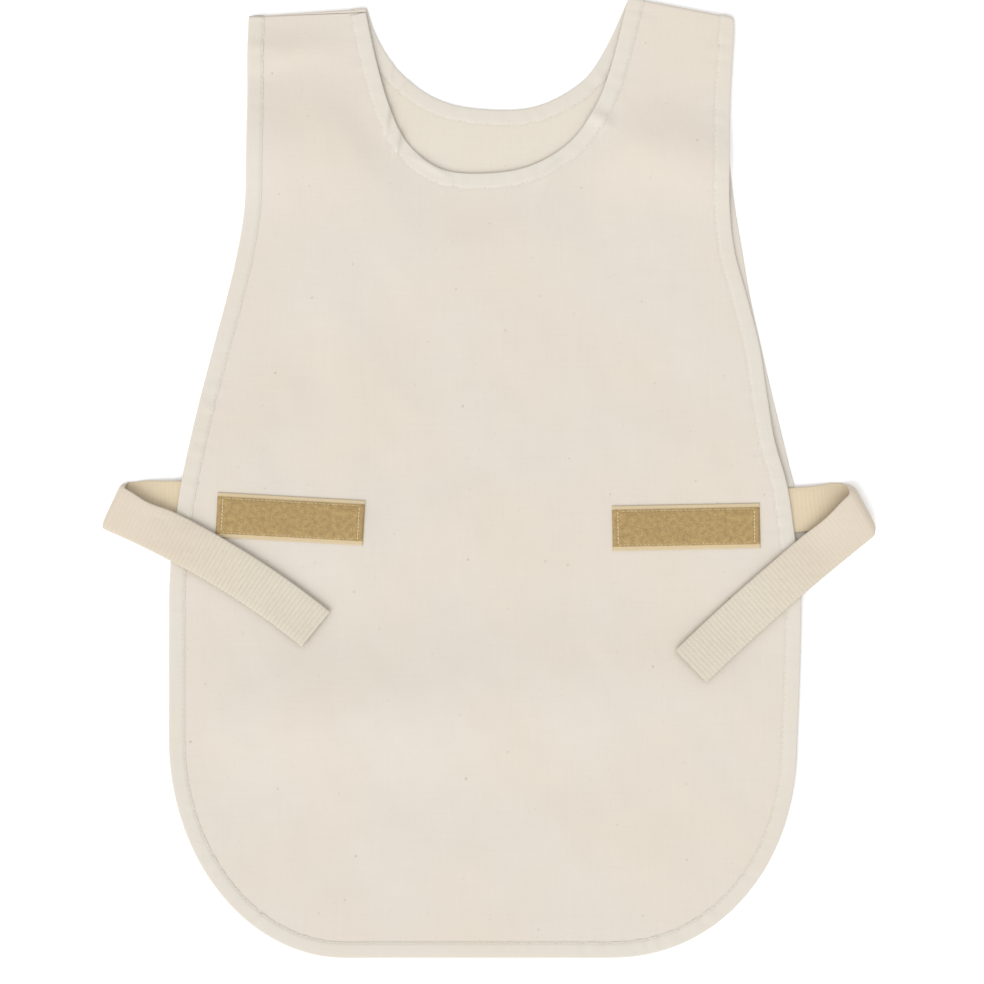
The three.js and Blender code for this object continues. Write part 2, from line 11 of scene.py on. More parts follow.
import bpy
import numpy as np
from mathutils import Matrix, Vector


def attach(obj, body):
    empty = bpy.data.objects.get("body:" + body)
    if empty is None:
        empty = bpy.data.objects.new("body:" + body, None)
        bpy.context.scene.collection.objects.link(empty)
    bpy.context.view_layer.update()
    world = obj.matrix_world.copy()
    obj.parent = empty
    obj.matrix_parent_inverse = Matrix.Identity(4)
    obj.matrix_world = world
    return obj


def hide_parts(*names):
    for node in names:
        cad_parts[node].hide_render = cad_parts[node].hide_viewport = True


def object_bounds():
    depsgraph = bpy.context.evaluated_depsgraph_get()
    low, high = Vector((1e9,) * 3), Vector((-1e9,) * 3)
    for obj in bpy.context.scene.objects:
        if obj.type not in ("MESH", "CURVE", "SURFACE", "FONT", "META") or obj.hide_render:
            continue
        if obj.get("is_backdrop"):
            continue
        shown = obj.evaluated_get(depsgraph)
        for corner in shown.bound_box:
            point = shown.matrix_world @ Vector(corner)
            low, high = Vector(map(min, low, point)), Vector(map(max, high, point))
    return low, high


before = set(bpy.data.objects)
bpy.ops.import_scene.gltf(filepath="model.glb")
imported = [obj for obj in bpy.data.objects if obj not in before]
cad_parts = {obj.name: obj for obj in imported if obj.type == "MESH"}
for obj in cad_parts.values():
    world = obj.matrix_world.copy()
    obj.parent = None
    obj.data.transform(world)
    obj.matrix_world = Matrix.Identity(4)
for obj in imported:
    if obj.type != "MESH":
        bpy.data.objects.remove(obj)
cad_box = [list(corner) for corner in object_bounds()]
print("box of the solids, metres:", cad_box)

# %% [markdown]
# ## Sizes
# All lengths below are millimetres on the apron's own pattern: X across from the middle of the
# body, Y up from the hem. They become metres, and move to the shared frame, where a mesh is made.
# The cloth here has its real thickness, thinner than the plain solids, and the same outlines.

# %% Cloth, body, neck and straps
mm = 0.001
pattern_middle = np.array([2.47, 268.01, 0.0])
canvas, fold_cloth, gap = 0.55, 0.44, 0.05
webbing, loop_tape, hook_tape = 1.3, 1.5, 1.2
body_length, half_width, edging_width = 525.0, 176.0, 9.0
corner_height, back_hem_rise, back_tuck = 122.0, 3.0, 1.2
corner_width, corner_fullness = {-1: 98.0, 1: 105.0}, {-1: 2.0, 1: 2.12}
neck_width, neck_offset = 146.0, 6.7
neck_drop = {"front": 88.0, "back": 52.0}
fold_radius = 1.25
strap_width, strap_height, strap_length, loop_radius = 25.0, 251.0, 195.0, 4.2
patch_length, patch_width, hook_length, hook_margin = 82.0, 25.0, 50.0, 2.0
edging_half = canvas / 2 + gap + fold_cloth
bound_pile = 2 * edging_half + gap
edge_pile = canvas / 2 + gap + edging_half
middle_pile = 1.5
corner_round = {-1: 1.2, 1: 3.4}
half_turn = math.pi * fold_radius
rng = np.random.default_rng(11)
print("half the bound edge's thickness, mm:", round(edging_half, 2))

# %% [markdown]
# ## Outlines of the pattern
# A dressmaker's curve is drawn through a few measured points, so each edge here is a smooth curve
# through the rows of a small table. The hem's corners are parts of a superellipse, a circle that
# can be made fuller, which gives their long soft turn with two numbers.

# %% A smooth curve through points
def smooth_curve(points, count=1600):
    """Points at equal steps along the cubic curve through the given ones. Its slope at each point
    is half the step between that point's two neighbours."""
    points = np.asarray(points, float)
    start, end = points[:-1], points[1:]
    leave = (end - np.vstack([start[:1], start[:-1]])) / 2
    arrive = (np.vstack([end[1:], end[-1:]]) - start) / 2
    t = np.linspace(0, 1, 80, endpoint=False)[None, :, None]
    start, end, leave, arrive = (a[:, None, :] for a in (start, end, leave, arrive))
    curve = (
        start * (2 * t**3 - 3 * t**2 + 1)
        + leave * (t**3 - 2 * t**2 + t)
        + end * (3 * t**2 - 2 * t**3)
        + arrive * (t**3 - t**2)
    )
    dense = np.vstack([curve.reshape(-1, 2), points[-1:]])
    length = path_length(dense)
    even = np.linspace(0, length[-1], count)
    return np.stack([np.interp(even, length, dense[:, axis]) for axis in (0, 1)], axis=1)


def path_length(points):
    """Distance along a path at each of its points: the running sum of its steps."""
    steps = np.linalg.norm(np.diff(points, axis=0), axis=1)
    return np.concatenate([[0.0], np.cumsum(steps)])


# %% The shoulders, where the front turns over into the back
seam_share = {-1: (0.3, -0.2), 1: (0.8, 0.8)}
shoulder_rows = {-1: (0.748, 1.0, 4.5), 1: (0.79, 1.6, 11.5)}
shoulders = {}
for side, (outer_share, fall, rise) in shoulder_rows.items():
    top = body_length - fold_radius - 0.2 - fall
    outer = np.array([side * outer_share * half_width, top])
    neck = np.array([neck_offset + side * neck_width / 2, top + rise])
    along = (neck - outer) / np.linalg.norm(neck - outer)
    out = np.array([side * along[1], -side * along[0]])
    shoulders[side] = {"outer": outer, "neck": neck, "out": out, "along": along}


def seam_end(layer, side, which):
    """Where a panel's shoulder seam meets its side (0) or its neckline (1), laid out flat: the fold
    line's end, moved over the fold by that layer's share of the half turn."""
    share = seam_share[side][which]
    reach = (share if layer == "front" else 1 - share) * half_turn - gap / 2
    shoulder = shoulders[side]
    return shoulder[("outer", "neck")[which]] + reach * shoulder["out"]


# %% Tables of the sides and the necklines
side_up = [0.95, 0.9, 0.85, 0.8, 0.75, 0.7, 0.65, 0.6, 0.55, 0.5, 0.45, 0.4, 0.35, 0.29]
side_left = [0.751, 0.751, 0.754, 0.759, 0.782, 0.817, 0.857,
             0.896, 0.931, 0.962, 0.984, 0.997, 1, 1]
side_right = [0.782, 0.775, 0.773, 0.773, 0.79, 0.83, 0.868,
              0.891, 0.915, 0.956, 0.978, 0.997, 0.999, 0.995]
back_right = [0.78, 0.773, 0.775, 0.79, 0.814, 0.84, 0.873,
              0.907, 0.943, 0.98, 1.018, 1.008, 0.993, 0.985]
corner_side = {("front", -1): 1.0, ("back", -1): 1.0, ("front", 1): 0.988, ("back", 1): 0.978}
neck_rows = {
    "front": [(-0.924, 0.277), (-0.817, 0.585), (-0.679, 0.811), (-0.435, 0.969), (-0.115, 1.0),
              (0.237, 0.956), (0.542, 0.811), (0.74, 0.591), (0.87, 0.321)],
    "back": [(-0.908, 0.255), (-0.733, 0.617), (-0.458, 0.894), (-0.13, 1.0),
             (0.282, 0.979), (0.634, 0.723), (0.824, 0.362)],
}


def left_tuck(layer, side):
    """The back's left edge lies a little inside the front's."""
    return back_tuck if layer == "back" and side < 0 else 0.0


def corner_points(layer, side, start, end):
    """A rounded hem corner: across and down are cosine and sine raised to 2 over the fullness."""
    angle = np.linspace(start, end, 9) * math.pi / 2
    power = 2 / corner_fullness[side]
    across = np.abs(np.cos(angle)) ** power
    down = np.abs(np.sin(angle)) ** power
    edge = side * corner_side[layer, side] * half_width + left_tuck(layer, side)
    low = back_hem_rise if layer == "back" else 0.0
    x = edge - side * corner_width[side] * (1 - across)
    return np.stack([x, corner_height - (corner_height - low) * down], axis=1)


def edge_curves(layer):
    """The four finished edges of one layer: both sides upwards, the hem and the neckline."""
    curves = {}
    for side, name in ((-1, "left"), (1, "right")):
        shares = side_left if side < 0 else (back_right if layer == "back" else side_right)
        tuck = left_tuck(layer, side)
        rows = [(side * share * half_width + tuck, up * body_length) for share, up in zip(shares, side_up)]
        corner = corner_points(layer, side, 0.5, 0.0)
        curves[name] = smooth_curve([*corner, *rows[::-1], seam_end(layer, side, 0)])
    left, right = corner_points(layer, -1, 0.5, 1.0), corner_points(layer, 1, 1.0, 0.5)
    curves["hem"] = smooth_curve([*left, *np.linspace(left[-1], right[0], 13)[1:-1], *right])
    drop = neck_drop[layer]
    rows = [(neck_offset + a * neck_width / 2, body_length - d * drop) for a, d in neck_rows[layer]]
    curves["neck"] = smooth_curve([seam_end(layer, -1, 1), *rows, seam_end(layer, 1, 1)])
    return curves


edges = {layer: edge_curves(layer) for layer in ("front", "back")}
for layer, curves in edges.items():
    print(layer, {name: round(path_length(curve)[-1]) for name, curve in curves.items()}, "mm")

# %% [markdown]
# ## How the cloth lies
# Canvas that has been folded and unfolded keeps broad soft swells, and a bound edge draws the
# cloth into small puckers beside the seam. Simulating it would not give the swells of this one
# apron, so its height is written down: the pile of cloth under it, a hill for each swell, a ridge
# for each crease, a few long random waves, and a pucker that runs with the edge.

# %% Fades and distances
def smooth(value, low, high):
    """0 below the low end, 1 above the high end, and t * t * (3 - 2t) of the way between them."""
    t = np.clip((value - low) / (high - low), 0, 1)
    return t * t * (3 - 2 * t)


def fade_out(distance, flat, reach):
    """1 up to the end of a flat stretch, then a smooth fall to 0 over the reach."""
    return 1 - smooth(distance, flat, flat + reach)


def nearest_edge(layer, points, names=("left", "right", "hem", "neck")):
    """Distance to a layer's finished edge, and how far along it the nearest place is. Every point
    is compared with samples of the edge, in blocks that fit in memory."""
    samples = np.vstack([edges[layer][name][::8] for name in names])
    along = np.concatenate([path_length(edges[layer][name])[::8] for name in names])
    flat = points.reshape(-1, 2)
    distance, place_along = np.empty(len(flat)), np.empty(len(flat))
    for start in range(0, len(flat), 20000):
        block = flat[start : start + 20000]
        squared = ((block[:, None, :] - samples[None]) ** 2).sum(axis=2)
        index = squared.argmin(axis=1)
        distance[start : start + 20000] = np.sqrt(squared.min(axis=1))
        place_along[start : start + 20000] = along[index]
    return distance.reshape(points.shape[:-1]), place_along.reshape(points.shape[:-1])


def waves(points, shortest, longest, count, seed):
    """Soft random waves: a sum of sines with random headings, wavelengths and starts, divided by
    the root of their count, so that it is about 1 mm high."""
    draw = np.random.default_rng(seed)
    heading = draw.uniform(0, math.tau, count)
    length = draw.uniform(shortest, longest, count)
    start = draw.uniform(0, math.tau, count)
    total = np.zeros(points.shape[:-1])
    for h, size, s in zip(heading, length, start):
        way = points[..., 0] * math.cos(h) + points[..., 1] * math.sin(h)
        total += np.sin(way * math.tau / size + s)
    return total / math.sqrt(count)


def pucker(along, seed):
    """Gathers along a seam: sines 7 to 15 mm long, stronger in some stretches than in others."""
    draw = np.random.default_rng(seed)
    total = np.zeros_like(along)
    for size in (7.3, 9.1, 11.9, 14.6):
        total += np.sin(along * math.tau / size + draw.uniform(0, math.tau))
    return total * (0.45 + 0.35 * np.sin(along / 41.0 + seed)) / 2


# %% Swells and creases of this apron
# Across and up in mm, half lengths along and away from the ridge, turn in degrees, height in mm.
# The shoulders' swells run out over the side edges, and the others stay inside the front.
swell_table = np.array([
    [-18, 399, 88, 26, 0, 1.1],
    [-78, 136, 90, 22, 3, 4.4],
    [-92, 182, 60, 18, 4, -0.9],
    [53, 152, 70, 26, -4, 1.5],
    [18, 241, 70, 37, 0, 0.9],
    [-75, 270, 9, 80, 2, 0.65],
    [40, 60, 90, 22, 4, 0.8],
    [-140, 300, 14, 60, 8, 0.9],
    [140, 330, 12, 50, -10, 0.9],
])
shoulder_swells = np.array([
    [-112, 505, 40, 6.5, 2, 1.6],
    [-116, 453, 44, 20, -3, 4.6],
    [98, 450, 46, 15, -14, 4.4],
])
crease_table = np.array([
    [-54.4, 466, 0.85, 5, -10, 1.9],
    [-48.4, 453.5, 0.85, 4.6, -14, 2],
    [-43, 449, 3, 6, -30, -0.5],
    [-30, 440.5, 8, 1.2, -30, 0.6],
    [36, 438, 7, 1.2, 42, 0.7],
    [31.5, 424, 2.2, 11, -16, 0.6],
    [64, 467, 6, 3, -25, 1.3],
    [-116, 500, 10, 4, 20, 0.8],
    [-124.4, 22.8, 0.9, 5, -45, 0.5],
])
back_creases = np.array([
    [-52.6, 492, 0.9, 7, -8, 0.7],
    [-44.3, 485, 0.9, 6, -34, 0.7],
])


def hills(points, table):
    """The sum of rounded hills: each is e to the minus half the squared distance from its middle,
    measured in its own half lengths along its turned axes."""
    total = np.zeros(points.shape[:-1])
    for x, y, wide, tall, turn, rise in table:
        cos, sin = math.cos(math.radians(turn)), math.sin(math.radians(turn))
        dx, dy = points[..., 0] - x, points[..., 1] - y
        along, away = (dx * cos + dy * sin) / wide, (dy * cos - dx * sin) / tall
        total += rise * np.exp(-(along**2 + away**2) / 2)
    return total


# %% Height of the middle of each layer's cloth
def of_shoulder(points, *names):
    """The named places or ways of the shoulder on each point's side of the neck."""
    left = (points[..., 0] < neck_offset)[..., None]
    return [np.where(left, shoulders[-1][name], shoulders[1][name]) for name in names]


def past_fold(points):
    """Distance past the shoulder's fold line, negative on the body, and the way out over it."""
    neck, out = of_shoulder(points, "neck", "out")
    return ((points - neck) * out).sum(axis=-1), out


def pulled_in(points, past):
    """How far a shoulder fold's outer corner is drawn in, so that it turns in a quarter circle
    instead of a point: the corner's radius less the circle's height there."""
    outer, along = of_shoulder(points, "outer", "along")
    radius = np.where(points[..., 0] < neck_offset, corner_round[-1], corner_round[1])
    share = np.clip(1 - ((points - outer) * along).sum(axis=-1) / radius, 0, 1)
    round_off = radius * (1 - np.sqrt(1 - share**2))
    return round_off * fade_out(np.abs(past - half_turn / 2), half_turn / 2, 14)


# Of each strap: its side, the sewn end's length, its place up the edge and the fold's slip in strap
# widths, the free length's share before the fold, the leans and headings in degrees, the edge's
# curl, the fold's radius, its spread above the middle, and the rounding of its two corners in mm.
strap_rows = {
    "left": dict(side=-1, tuck=0.72, up=0.09, slip=0.15, share=0.213, root=0, lean=27.5, leave=22.5,
                 end=39, curl=1.6, loop=2.3, rise=1.06, top_round=2.2, low_round=0.6),
    "right": dict(side=1, tuck=1.04, up=-0.05, slip=0.3, share=0.202, root=5, lean=32, leave=38.5,
                  end=44, curl=0.8, loop=4.2, rise=1.16, top_round=3.4, low_round=2.0),
}
roots = {}
for name, row in strap_rows.items():
    edge = edges["back"][name]
    height = strap_height + row["up"] * strap_width
    roots[name] = np.array([np.interp(height, edge[:, 1], edge[:, 0]), height])


# How far in from an edge or a fold each effect stays flat, and how far it then takes to fade, in mm.
bound_zone, back_fold_zone, front_fold_zone = (12, 45), (0, 42), (0, 80)
both_edges_zone, swell_zone, neck_zone, calm_fold = (12, 30), (4, 40), (6, 26), (-9, 9)
# Heights in mm: the back's ripples, the front's long and short waves, and its puckers at the seam.
ripple_height, long_waves, short_waves, seam_puckers = 0.1, 0.2, 0.07, 0.16


def back_height(points):
    """The back lies on the floor in low ripples, and rises to its bound edge and to the shoulder
    fold, where its middle is half the edging's thickness up."""
    distance, _ = nearest_edge("back", points)
    past, _ = past_fold(points)
    lift = np.maximum(fade_out(distance, *bound_zone), fade_out(-past, *back_fold_zone))
    level = canvas / 2 + (edging_half - canvas / 2) * lift
    ripple = ripple_height * np.maximum(1 + waves(points, 30, 70, 6, 5), 0) * (1 - lift)
    return level + ripple + hills(points, back_creases) * fade_out(past, *calm_fold)


def front_height(points):
    """The front lies on the back, at the height of what is under it (air in the middle, one bound
    edge or two, the straps' sewn ends, the shoulder fold) plus its swells, waves and creases."""
    distance, along = nearest_edge("front", points)
    under, _ = nearest_edge("back", points)
    past, _ = past_fold(points)
    inner = 1 - fade_out(distance, *swell_zone)
    from_neck, _ = nearest_edge("front", points, ["neck"])
    relief = hills(points, swell_table) * inner + hills(points, crease_table)
    relief += hills(points, shoulder_swells) * (1 - fade_out(from_neck, *neck_zone))
    drift = long_waves * waves(points, 38, 90, 9, 3) + short_waves * waves(points, 12, 24, 9, 4)
    relief += drift * inner
    relief += seam_puckers * pucker(along, 2) * fade_out(np.abs(distance - edging_width), 0, 13)
    near, both = fade_out(distance, *bound_zone), fade_out(under, *both_edges_zone)
    pile = middle_pile + (edge_pile - middle_pile + (bound_pile - edge_pile) * both) * near
    for name, row in strap_rows.items():
        border = math.hypot(row["tuck"], 0.5) * strap_width + 4
        pile += webbing * fade_out(np.linalg.norm(points - roots[name], axis=-1), border, 50)
    pile += (2 * fold_radius - pile) * fade_out(-past, *front_fold_zone)
    relief *= fade_out(past, *calm_fold)
    return back_height(points) + np.maximum(pile + relief, canvas + gap)


def lay(layer, points, offset):
    """A place on a flat pattern in space, at a distance from the middle of its cloth. Past the fold
    line it goes round a half turn of the fold radius, then on over the other layer."""
    heights = front_height(points) if layer == "front" else back_height(points)
    past, out = past_fold(points)
    angle = np.clip(past / fold_radius, 0, math.pi)
    beyond = np.maximum(past - half_turn, 0)
    facing = 1 if layer == "front" else -1
    radius = fold_radius + facing * offset
    over = past > 0
    reach = np.where(over, radius * np.sin(angle) - beyond - past, 0) - pulled_in(points, past)
    centre = edging_half + fold_radius
    turned = np.maximum(centre + facing * radius * np.cos(angle), 0)
    height = np.where(over, turned, heights + offset)
    return np.concatenate([points + out * reach[..., None], height[..., None]], axis=-1)


probe = np.array([[0.0, 250.0], [-92.0, 506.0], [-100.0, 486.0], [140.0, 250.0]])
print("front heights at four places, mm:", front_height(probe).round(2))

# %% [markdown]
# ## Meshes from grids
# A panel is two grids of points, one for each face, joined round the rim. A binding or stitch is
# a section carried along a line. Both are whole arrays, written to the mesh in one go.

# %% Mesh helpers
def in_scene(name, data):
    """A new object that holds the given data, put into the scene."""
    made = bpy.data.objects.new(name, data)
    bpy.context.scene.collection.objects.link(made)
    return made


def new_piece(name, points, faces, material, uv=None):
    """Makes a mesh object from millimetre points on the pattern and quad or triangle corners."""
    mesh = bpy.data.meshes.new(name)
    points = (np.asarray(points, float).reshape(-1, 3) - pattern_middle) * mm
    faces = np.asarray(faces, dtype=np.int64)
    mesh.vertices.add(len(points))
    mesh.vertices.foreach_set("co", points.ravel())
    size = faces.shape[1]
    mesh.loops.add(faces.size)
    mesh.loops.foreach_set("vertex_index", faces.ravel().astype(np.int32))
    mesh.polygons.add(len(faces))
    mesh.polygons.foreach_set("loop_start", np.arange(0, faces.size, size, dtype=np.int32))
    mesh.update(calc_edges=True)
    if uv is not None:
        layer = mesh.uv_layers.new(name="UVMap")
        layer.data.foreach_set("uv", (np.asarray(uv).reshape(-1, 2) * mm)[faces.ravel()].ravel())
    mesh.polygons.foreach_set("use_smooth", np.ones(len(faces), bool))
    mesh.validate()
    mesh.materials.append(material)
    piece = in_scene(name, mesh)
    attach(piece, "root")
    print(name, len(points), "points,", len(faces), "faces")
    return piece


def outward(points, faces):
    """Turns a closed shell's faces outwards: the sum of corner a times the cross product of b and
    c over its triangles is six times the volume, which is negative when they point inwards."""
    a, b, c = (points[faces[:, k]] for k in (0, 1, 2))
    volume = np.einsum("ij,ij->i", a, np.cross(b, c)).sum()
    if faces.shape[1] == 4:
        d = points[faces[:, 3]]
        volume += np.einsum("ij,ij->i", a, np.cross(c, d)).sum()
    return faces if volume > 0 else faces[:, ::-1]


def two_faced(upper, lower):
    """Faces of a closed sheet: the upper grid, the lower grid turned over, and a rim between them."""
    rows, columns = upper.shape[:2]
    grid = np.arange(rows * columns).reshape(rows, columns)
    top = np.stack([grid[:-1, :-1], grid[1:, :-1], grid[1:, 1:], grid[:-1, 1:]], axis=-1).reshape(-1, 4)
    rim = np.concatenate([grid[:-1, 0], grid[-1, :-1], grid[:0:-1, -1], grid[0, :0:-1]])
    after = np.roll(rim, -1)
    under = rows * columns
    side = np.stack([rim + under, after + under, after, rim], axis=-1)
    points = np.concatenate([upper.reshape(-1, 3), lower.reshape(-1, 3)])
    return points, outward(points, np.concatenate([top, top[:, ::-1] + under, side]))


def swept(rings):
    """Faces of a closed section carried along a line: quads between rings, and an end cap made of
    quads that pair the section's first corners with its last ones."""
    count, corners = rings.shape[:2]
    grid = np.arange(count * corners).reshape(count, corners)
    after = np.roll(grid, -1, axis=1)
    wall = np.stack([grid[:-1], grid[1:], after[1:], after[:-1]], axis=-1).reshape(-1, 4)
    step = np.arange(corners // 2 - 1)
    cap = np.stack([step, step + 1, corners - 2 - step, corners - 1 - step], axis=-1)
    end = (count - 1) * corners
    points = rings.reshape(-1, 3)
    return points, outward(points, np.concatenate([wall, cap, cap[:, ::-1] + end]))

# %% [markdown]
# ## Finishes
# Unbleached cotton is creamy, matt and a little uneven: yarns swell and thin, and brown specks of
# seed stay in it. One node group holds the yarns and one the specks, so panels, edging and straps
# share the same cotton with their own values. Nothing is an image, so it is sharp at any distance.

# %% Node helpers
def fill(tree, socket, value):
    """Links a socket to another one, or sets it to a plain value."""
    if isinstance(value, bpy.types.NodeSocket):
        tree.links.new(value, socket)
    else:
        socket.default_value = value


def add(tree, kind, inputs=(), **settings):
    """Adds a node, sets its settings, and fills the named inputs."""
    made = tree.nodes.new(kind)
    for name, value in settings.items():
        setattr(made, name, value)
    for key, value in dict(inputs).items():
        fill(tree, made.inputs[key], value)
    return made


def maths(tree, operation, *values):
    """The result of one Math node."""
    return add(tree, "ShaderNodeMath", enumerate(values), operation=operation).outputs[0]


def sums(tree):
    """Short names for a tree's times, plus and minus."""
    return [partial(maths, tree, kind) for kind in ("MULTIPLY", "ADD", "SUBTRACT")]


def clamped(tree, value):
    """A value held between 0 and 1."""
    return maths(tree, "MINIMUM", 1.0, maths(tree, "MAXIMUM", 0.0, value))


def bumps(tree, value):
    """The furrowed wave |sin(value)| to the power 0.7: round tops with narrow gaps between."""
    return maths(tree, "POWER", maths(tree, "ABSOLUTE", maths(tree, "SINE", value)), 0.7)


def stretched(tree, vector, factors):
    """A vector times a number for each of its parts."""
    return add(tree, "ShaderNodeVectorMath", {0: vector, 1: factors}, operation="MULTIPLY").outputs[0]


def noise(tree, vector, scale, detail):
    """A random value that changes softly over the surface, about 0.5 in the mean."""
    return add(tree, "ShaderNodeTexNoise", {"Vector": vector, "Scale": scale, "Detail": detail}).outputs[0]


def in_millimetres(tree, coordinates):
    """The place on the piece, in millimetres."""
    return stretched(tree, add(tree, "ShaderNodeTexCoord").outputs[coordinates], (1000.0, 1000.0, 1000.0))


def blend_colours(tree, kind, share, first, second):
    """A Mix node's colour: the second over the first by a share."""
    made = add(tree, "ShaderNodeMix", data_type="RGBA", blend_type=kind)
    for index, value in ((0, share), (6, first), (7, second)):
        fill(tree, made.inputs[index], value)
    return made.outputs[2]


def shaded(tree, colour, shade):
    """A colour times a grey shade."""
    grey = add(tree, "ShaderNodeCombineColor", {0: shade, 1: shade, 2: shade}).outputs[0]
    return blend_colours(tree, "MULTIPLY", 1.0, colour, grey)


def new_group(name, inputs, outputs):
    """A node group with named sockets, and the outputs of its input node by name."""
    group = bpy.data.node_groups.new(name, "ShaderNodeTree")
    for label, kind, value in inputs:
        socket = group.interface.new_socket(label, in_out="INPUT", socket_type="NodeSocket" + kind)
        if value is not None:
            socket.default_value = value
    for label, kind in outputs:
        group.interface.new_socket(label, in_out="OUTPUT", socket_type="NodeSocket" + kind)
    return group, group.nodes.new("NodeGroupInput").outputs, group.nodes.new("NodeGroupOutput").inputs


# %% Yarns of a plain weave
yarns, given, result = new_group(
    "plain weave",
    [("Place in mm", "Vector", None), ("Pitch", "Float", 1.1), ("Unevenness", "Float", 1.0)],
    [("Height", "Float"), ("Shade", "Float")],
)
times, plus, minus = sums(yarns)
wander = add(yarns, "ShaderNodeTexNoise", {"Vector": given["Place in mm"], "Scale": 0.12, "Detail": 2.0})
bent = stretched(yarns, wander.outputs["Color"], (1.1, 1.1, 0))
place = add(yarns, "ShaderNodeVectorMath", {0: given["Place in mm"], 1: bent}, operation="ADD").outputs[0]
parts = add(yarns, "ShaderNodeSeparateXYZ", {0: place}).outputs
turns = maths(yarns, "DIVIDE", math.pi, given["Pitch"])
warp, weft = (maths(yarns, "SINE", times(parts[axis], turns)) for axis in (0, 1))
crossing = maths(yarns, "POWER", maths(yarns, "ABSOLUTE", times(warp, weft)), 0.6)
drawn_out = (0.9, 0.035, 1.0), (0.035, 0.9, 1.0)
streaks = [noise(yarns, stretched(yarns, place, way), 1.0, 3.0) for way in drawn_out]
slub = times(minus(plus(*streaks), 1.0), given["Unevenness"])
yarns.links.new(plus(crossing, times(slub, 0.8)), result["Height"])
yarns.links.new(slub, result["Shade"])

# %% Seed specks
specks, given, result = new_group(
    "seed specks",
    [("Place in mm", "Vector", None), ("Spacing", "Float", 16.0), ("Size", "Float", 0.45),
     ("Share", "Float", 0.5)],
    [("Mask", "Float")],
)
times, plus, minus = sums(specks)
cells = add(specks, "ShaderNodeVectorMath", {0: given["Place in mm"]}, operation="SCALE")
specks.links.new(maths(specks, "DIVIDE", 1.0, given["Spacing"]), cells.inputs["Scale"])
cells = {"Vector": cells.outputs[0], "Scale": 1.0}
dots = add(specks, "ShaderNodeTexVoronoi", cells, voronoi_dimensions="2D")
luck = add(specks, "ShaderNodeSeparateColor", {0: dots.outputs["Color"]}).outputs
size = times(given["Size"], plus(0.4, luck[1]))
near = maths(specks, "DIVIDE", times(dots.outputs["Distance"], given["Spacing"]), size)
chosen = maths(specks, "LESS_THAN", luck[0], given["Share"])
mask = times(clamped(specks, minus(1.5, near)), times(chosen, luck[2]))
specks.links.new(mask, result["Mask"])


# %% Cotton, webbing, tape and thread
seed_rows = (
    (21.0, 0.5, 0.5, 0.42, (0.24, 0.17, 0.11, 1)),
    (8.0, 0.3, 0.35, 0.25, (0.3, 0.23, 0.15, 1)),
)


def cloth_material(name, colour, pitch, uneven, relief, specked=1.0, rough=0.92, coordinates="Object"):
    """A matt cotton: its colour, varied in soft blotches and yarn by yarn, specks of seed (spacing,
    size, share, strength and colour in each row), and a bump from the weave."""
    material = bpy.data.materials.new(name)
    material.use_nodes = True
    tree = material.node_tree
    times, plus, minus = sums(tree)
    shader = tree.nodes["Principled BSDF"]
    place = in_millimetres(tree, coordinates)
    given = {"Place in mm": place, "Pitch": pitch, "Unevenness": uneven}
    weave = add(tree, "ShaderNodeGroup", given, node_tree=yarns).outputs
    shade = plus(times(noise(tree, place, 0.022, 4.0), 0.035), 0.972)
    # The weave's height lightens thick yarns and the tops of the crossings: partly the yarns' own tone,
    # partly painted shade in the dips between them.
    shade = plus(plus(shade, times(weave["Shade"], 0.03)), times(weave["Height"], 0.012))
    made = shaded(tree, (*colour, 1), shade)
    warmth = minus(times(noise(tree, place, 0.013, 2.0), 3.0), 1.0)
    made = blend_colours(tree, "MULTIPLY", warmth, made, (1.0, 0.99, 0.955, 1))
    for spacing, size, share, strength, brown in seed_rows:
        given = {"Place in mm": place, "Spacing": spacing, "Size": size, "Share": share}
        seeds = add(tree, "ShaderNodeGroup", given, node_tree=specks)
        made = blend_colours(tree, "MIX", times(seeds.outputs[0], strength * specked), made, brown)
    tree.links.new(made, shader.inputs["Base Color"])
    bump = {"Height": weave["Height"], "Distance": relief * mm, "Strength": 0.65}
    tree.links.new(add(tree, "ShaderNodeBump", bump).outputs[0], shader.inputs["Normal"])
    shader.inputs["Roughness"].default_value = rough
    shader.inputs["Specular IOR Level"].default_value = 0.25
    shader.inputs["Sheen Weight"].default_value = 0.12
    shader.inputs["Sheen Roughness"].default_value = 0.5
    return material


def thread_material(name, colour):
    """Sewing thread: fine smooth yarns without seed, a little less matt than the cloth."""
    return cloth_material(name, colour, 0.35, 0.2, 0.04, specked=0.0, rough=0.8)


def tape_material(name, colour, pitch, uneven, relief):
    """Woven tape, without seed, whose yarns follow its own length."""
    return cloth_material(name, colour, pitch, uneven, relief, specked=0.0, coordinates="UV")


canvas_cloth = cloth_material("unbleached canvas", (0.571, 0.523, 0.466), 0.66, 1.0, 0.08)
back_cloth = cloth_material("canvas of the back", (0.580, 0.533, 0.464), 0.66, 1.0, 0.08)
edging_cloth = cloth_material("folded cotton edging", (0.570, 0.531, 0.475), 0.6, 0.8, 0.08, specked=0.4)
thread = thread_material("sewing thread", (0.62, 0.58, 0.50))
tan_thread = thread_material("tan sewing thread", (0.56, 0.475, 0.33))
pale_thread = thread_material("pale tan sewing thread", (0.66, 0.55, 0.37))
hook_cloth = tape_material("hook tape", (0.5, 0.43, 0.3), 1.2, 0.3, 0.5)
selvage_cloth = tape_material("tape selvage", (0.525, 0.425, 0.275), 0.5, 0.4, 0.08)
# Colours of the loop nap: painted shade for the ground between the loops and a painted highlight for their
# tops.
loop_shadow, loop_light = (0.1953, 0.13454, 0.05766, 1), (0.4725, 0.3255, 0.1395, 1)
selvage = 2.4


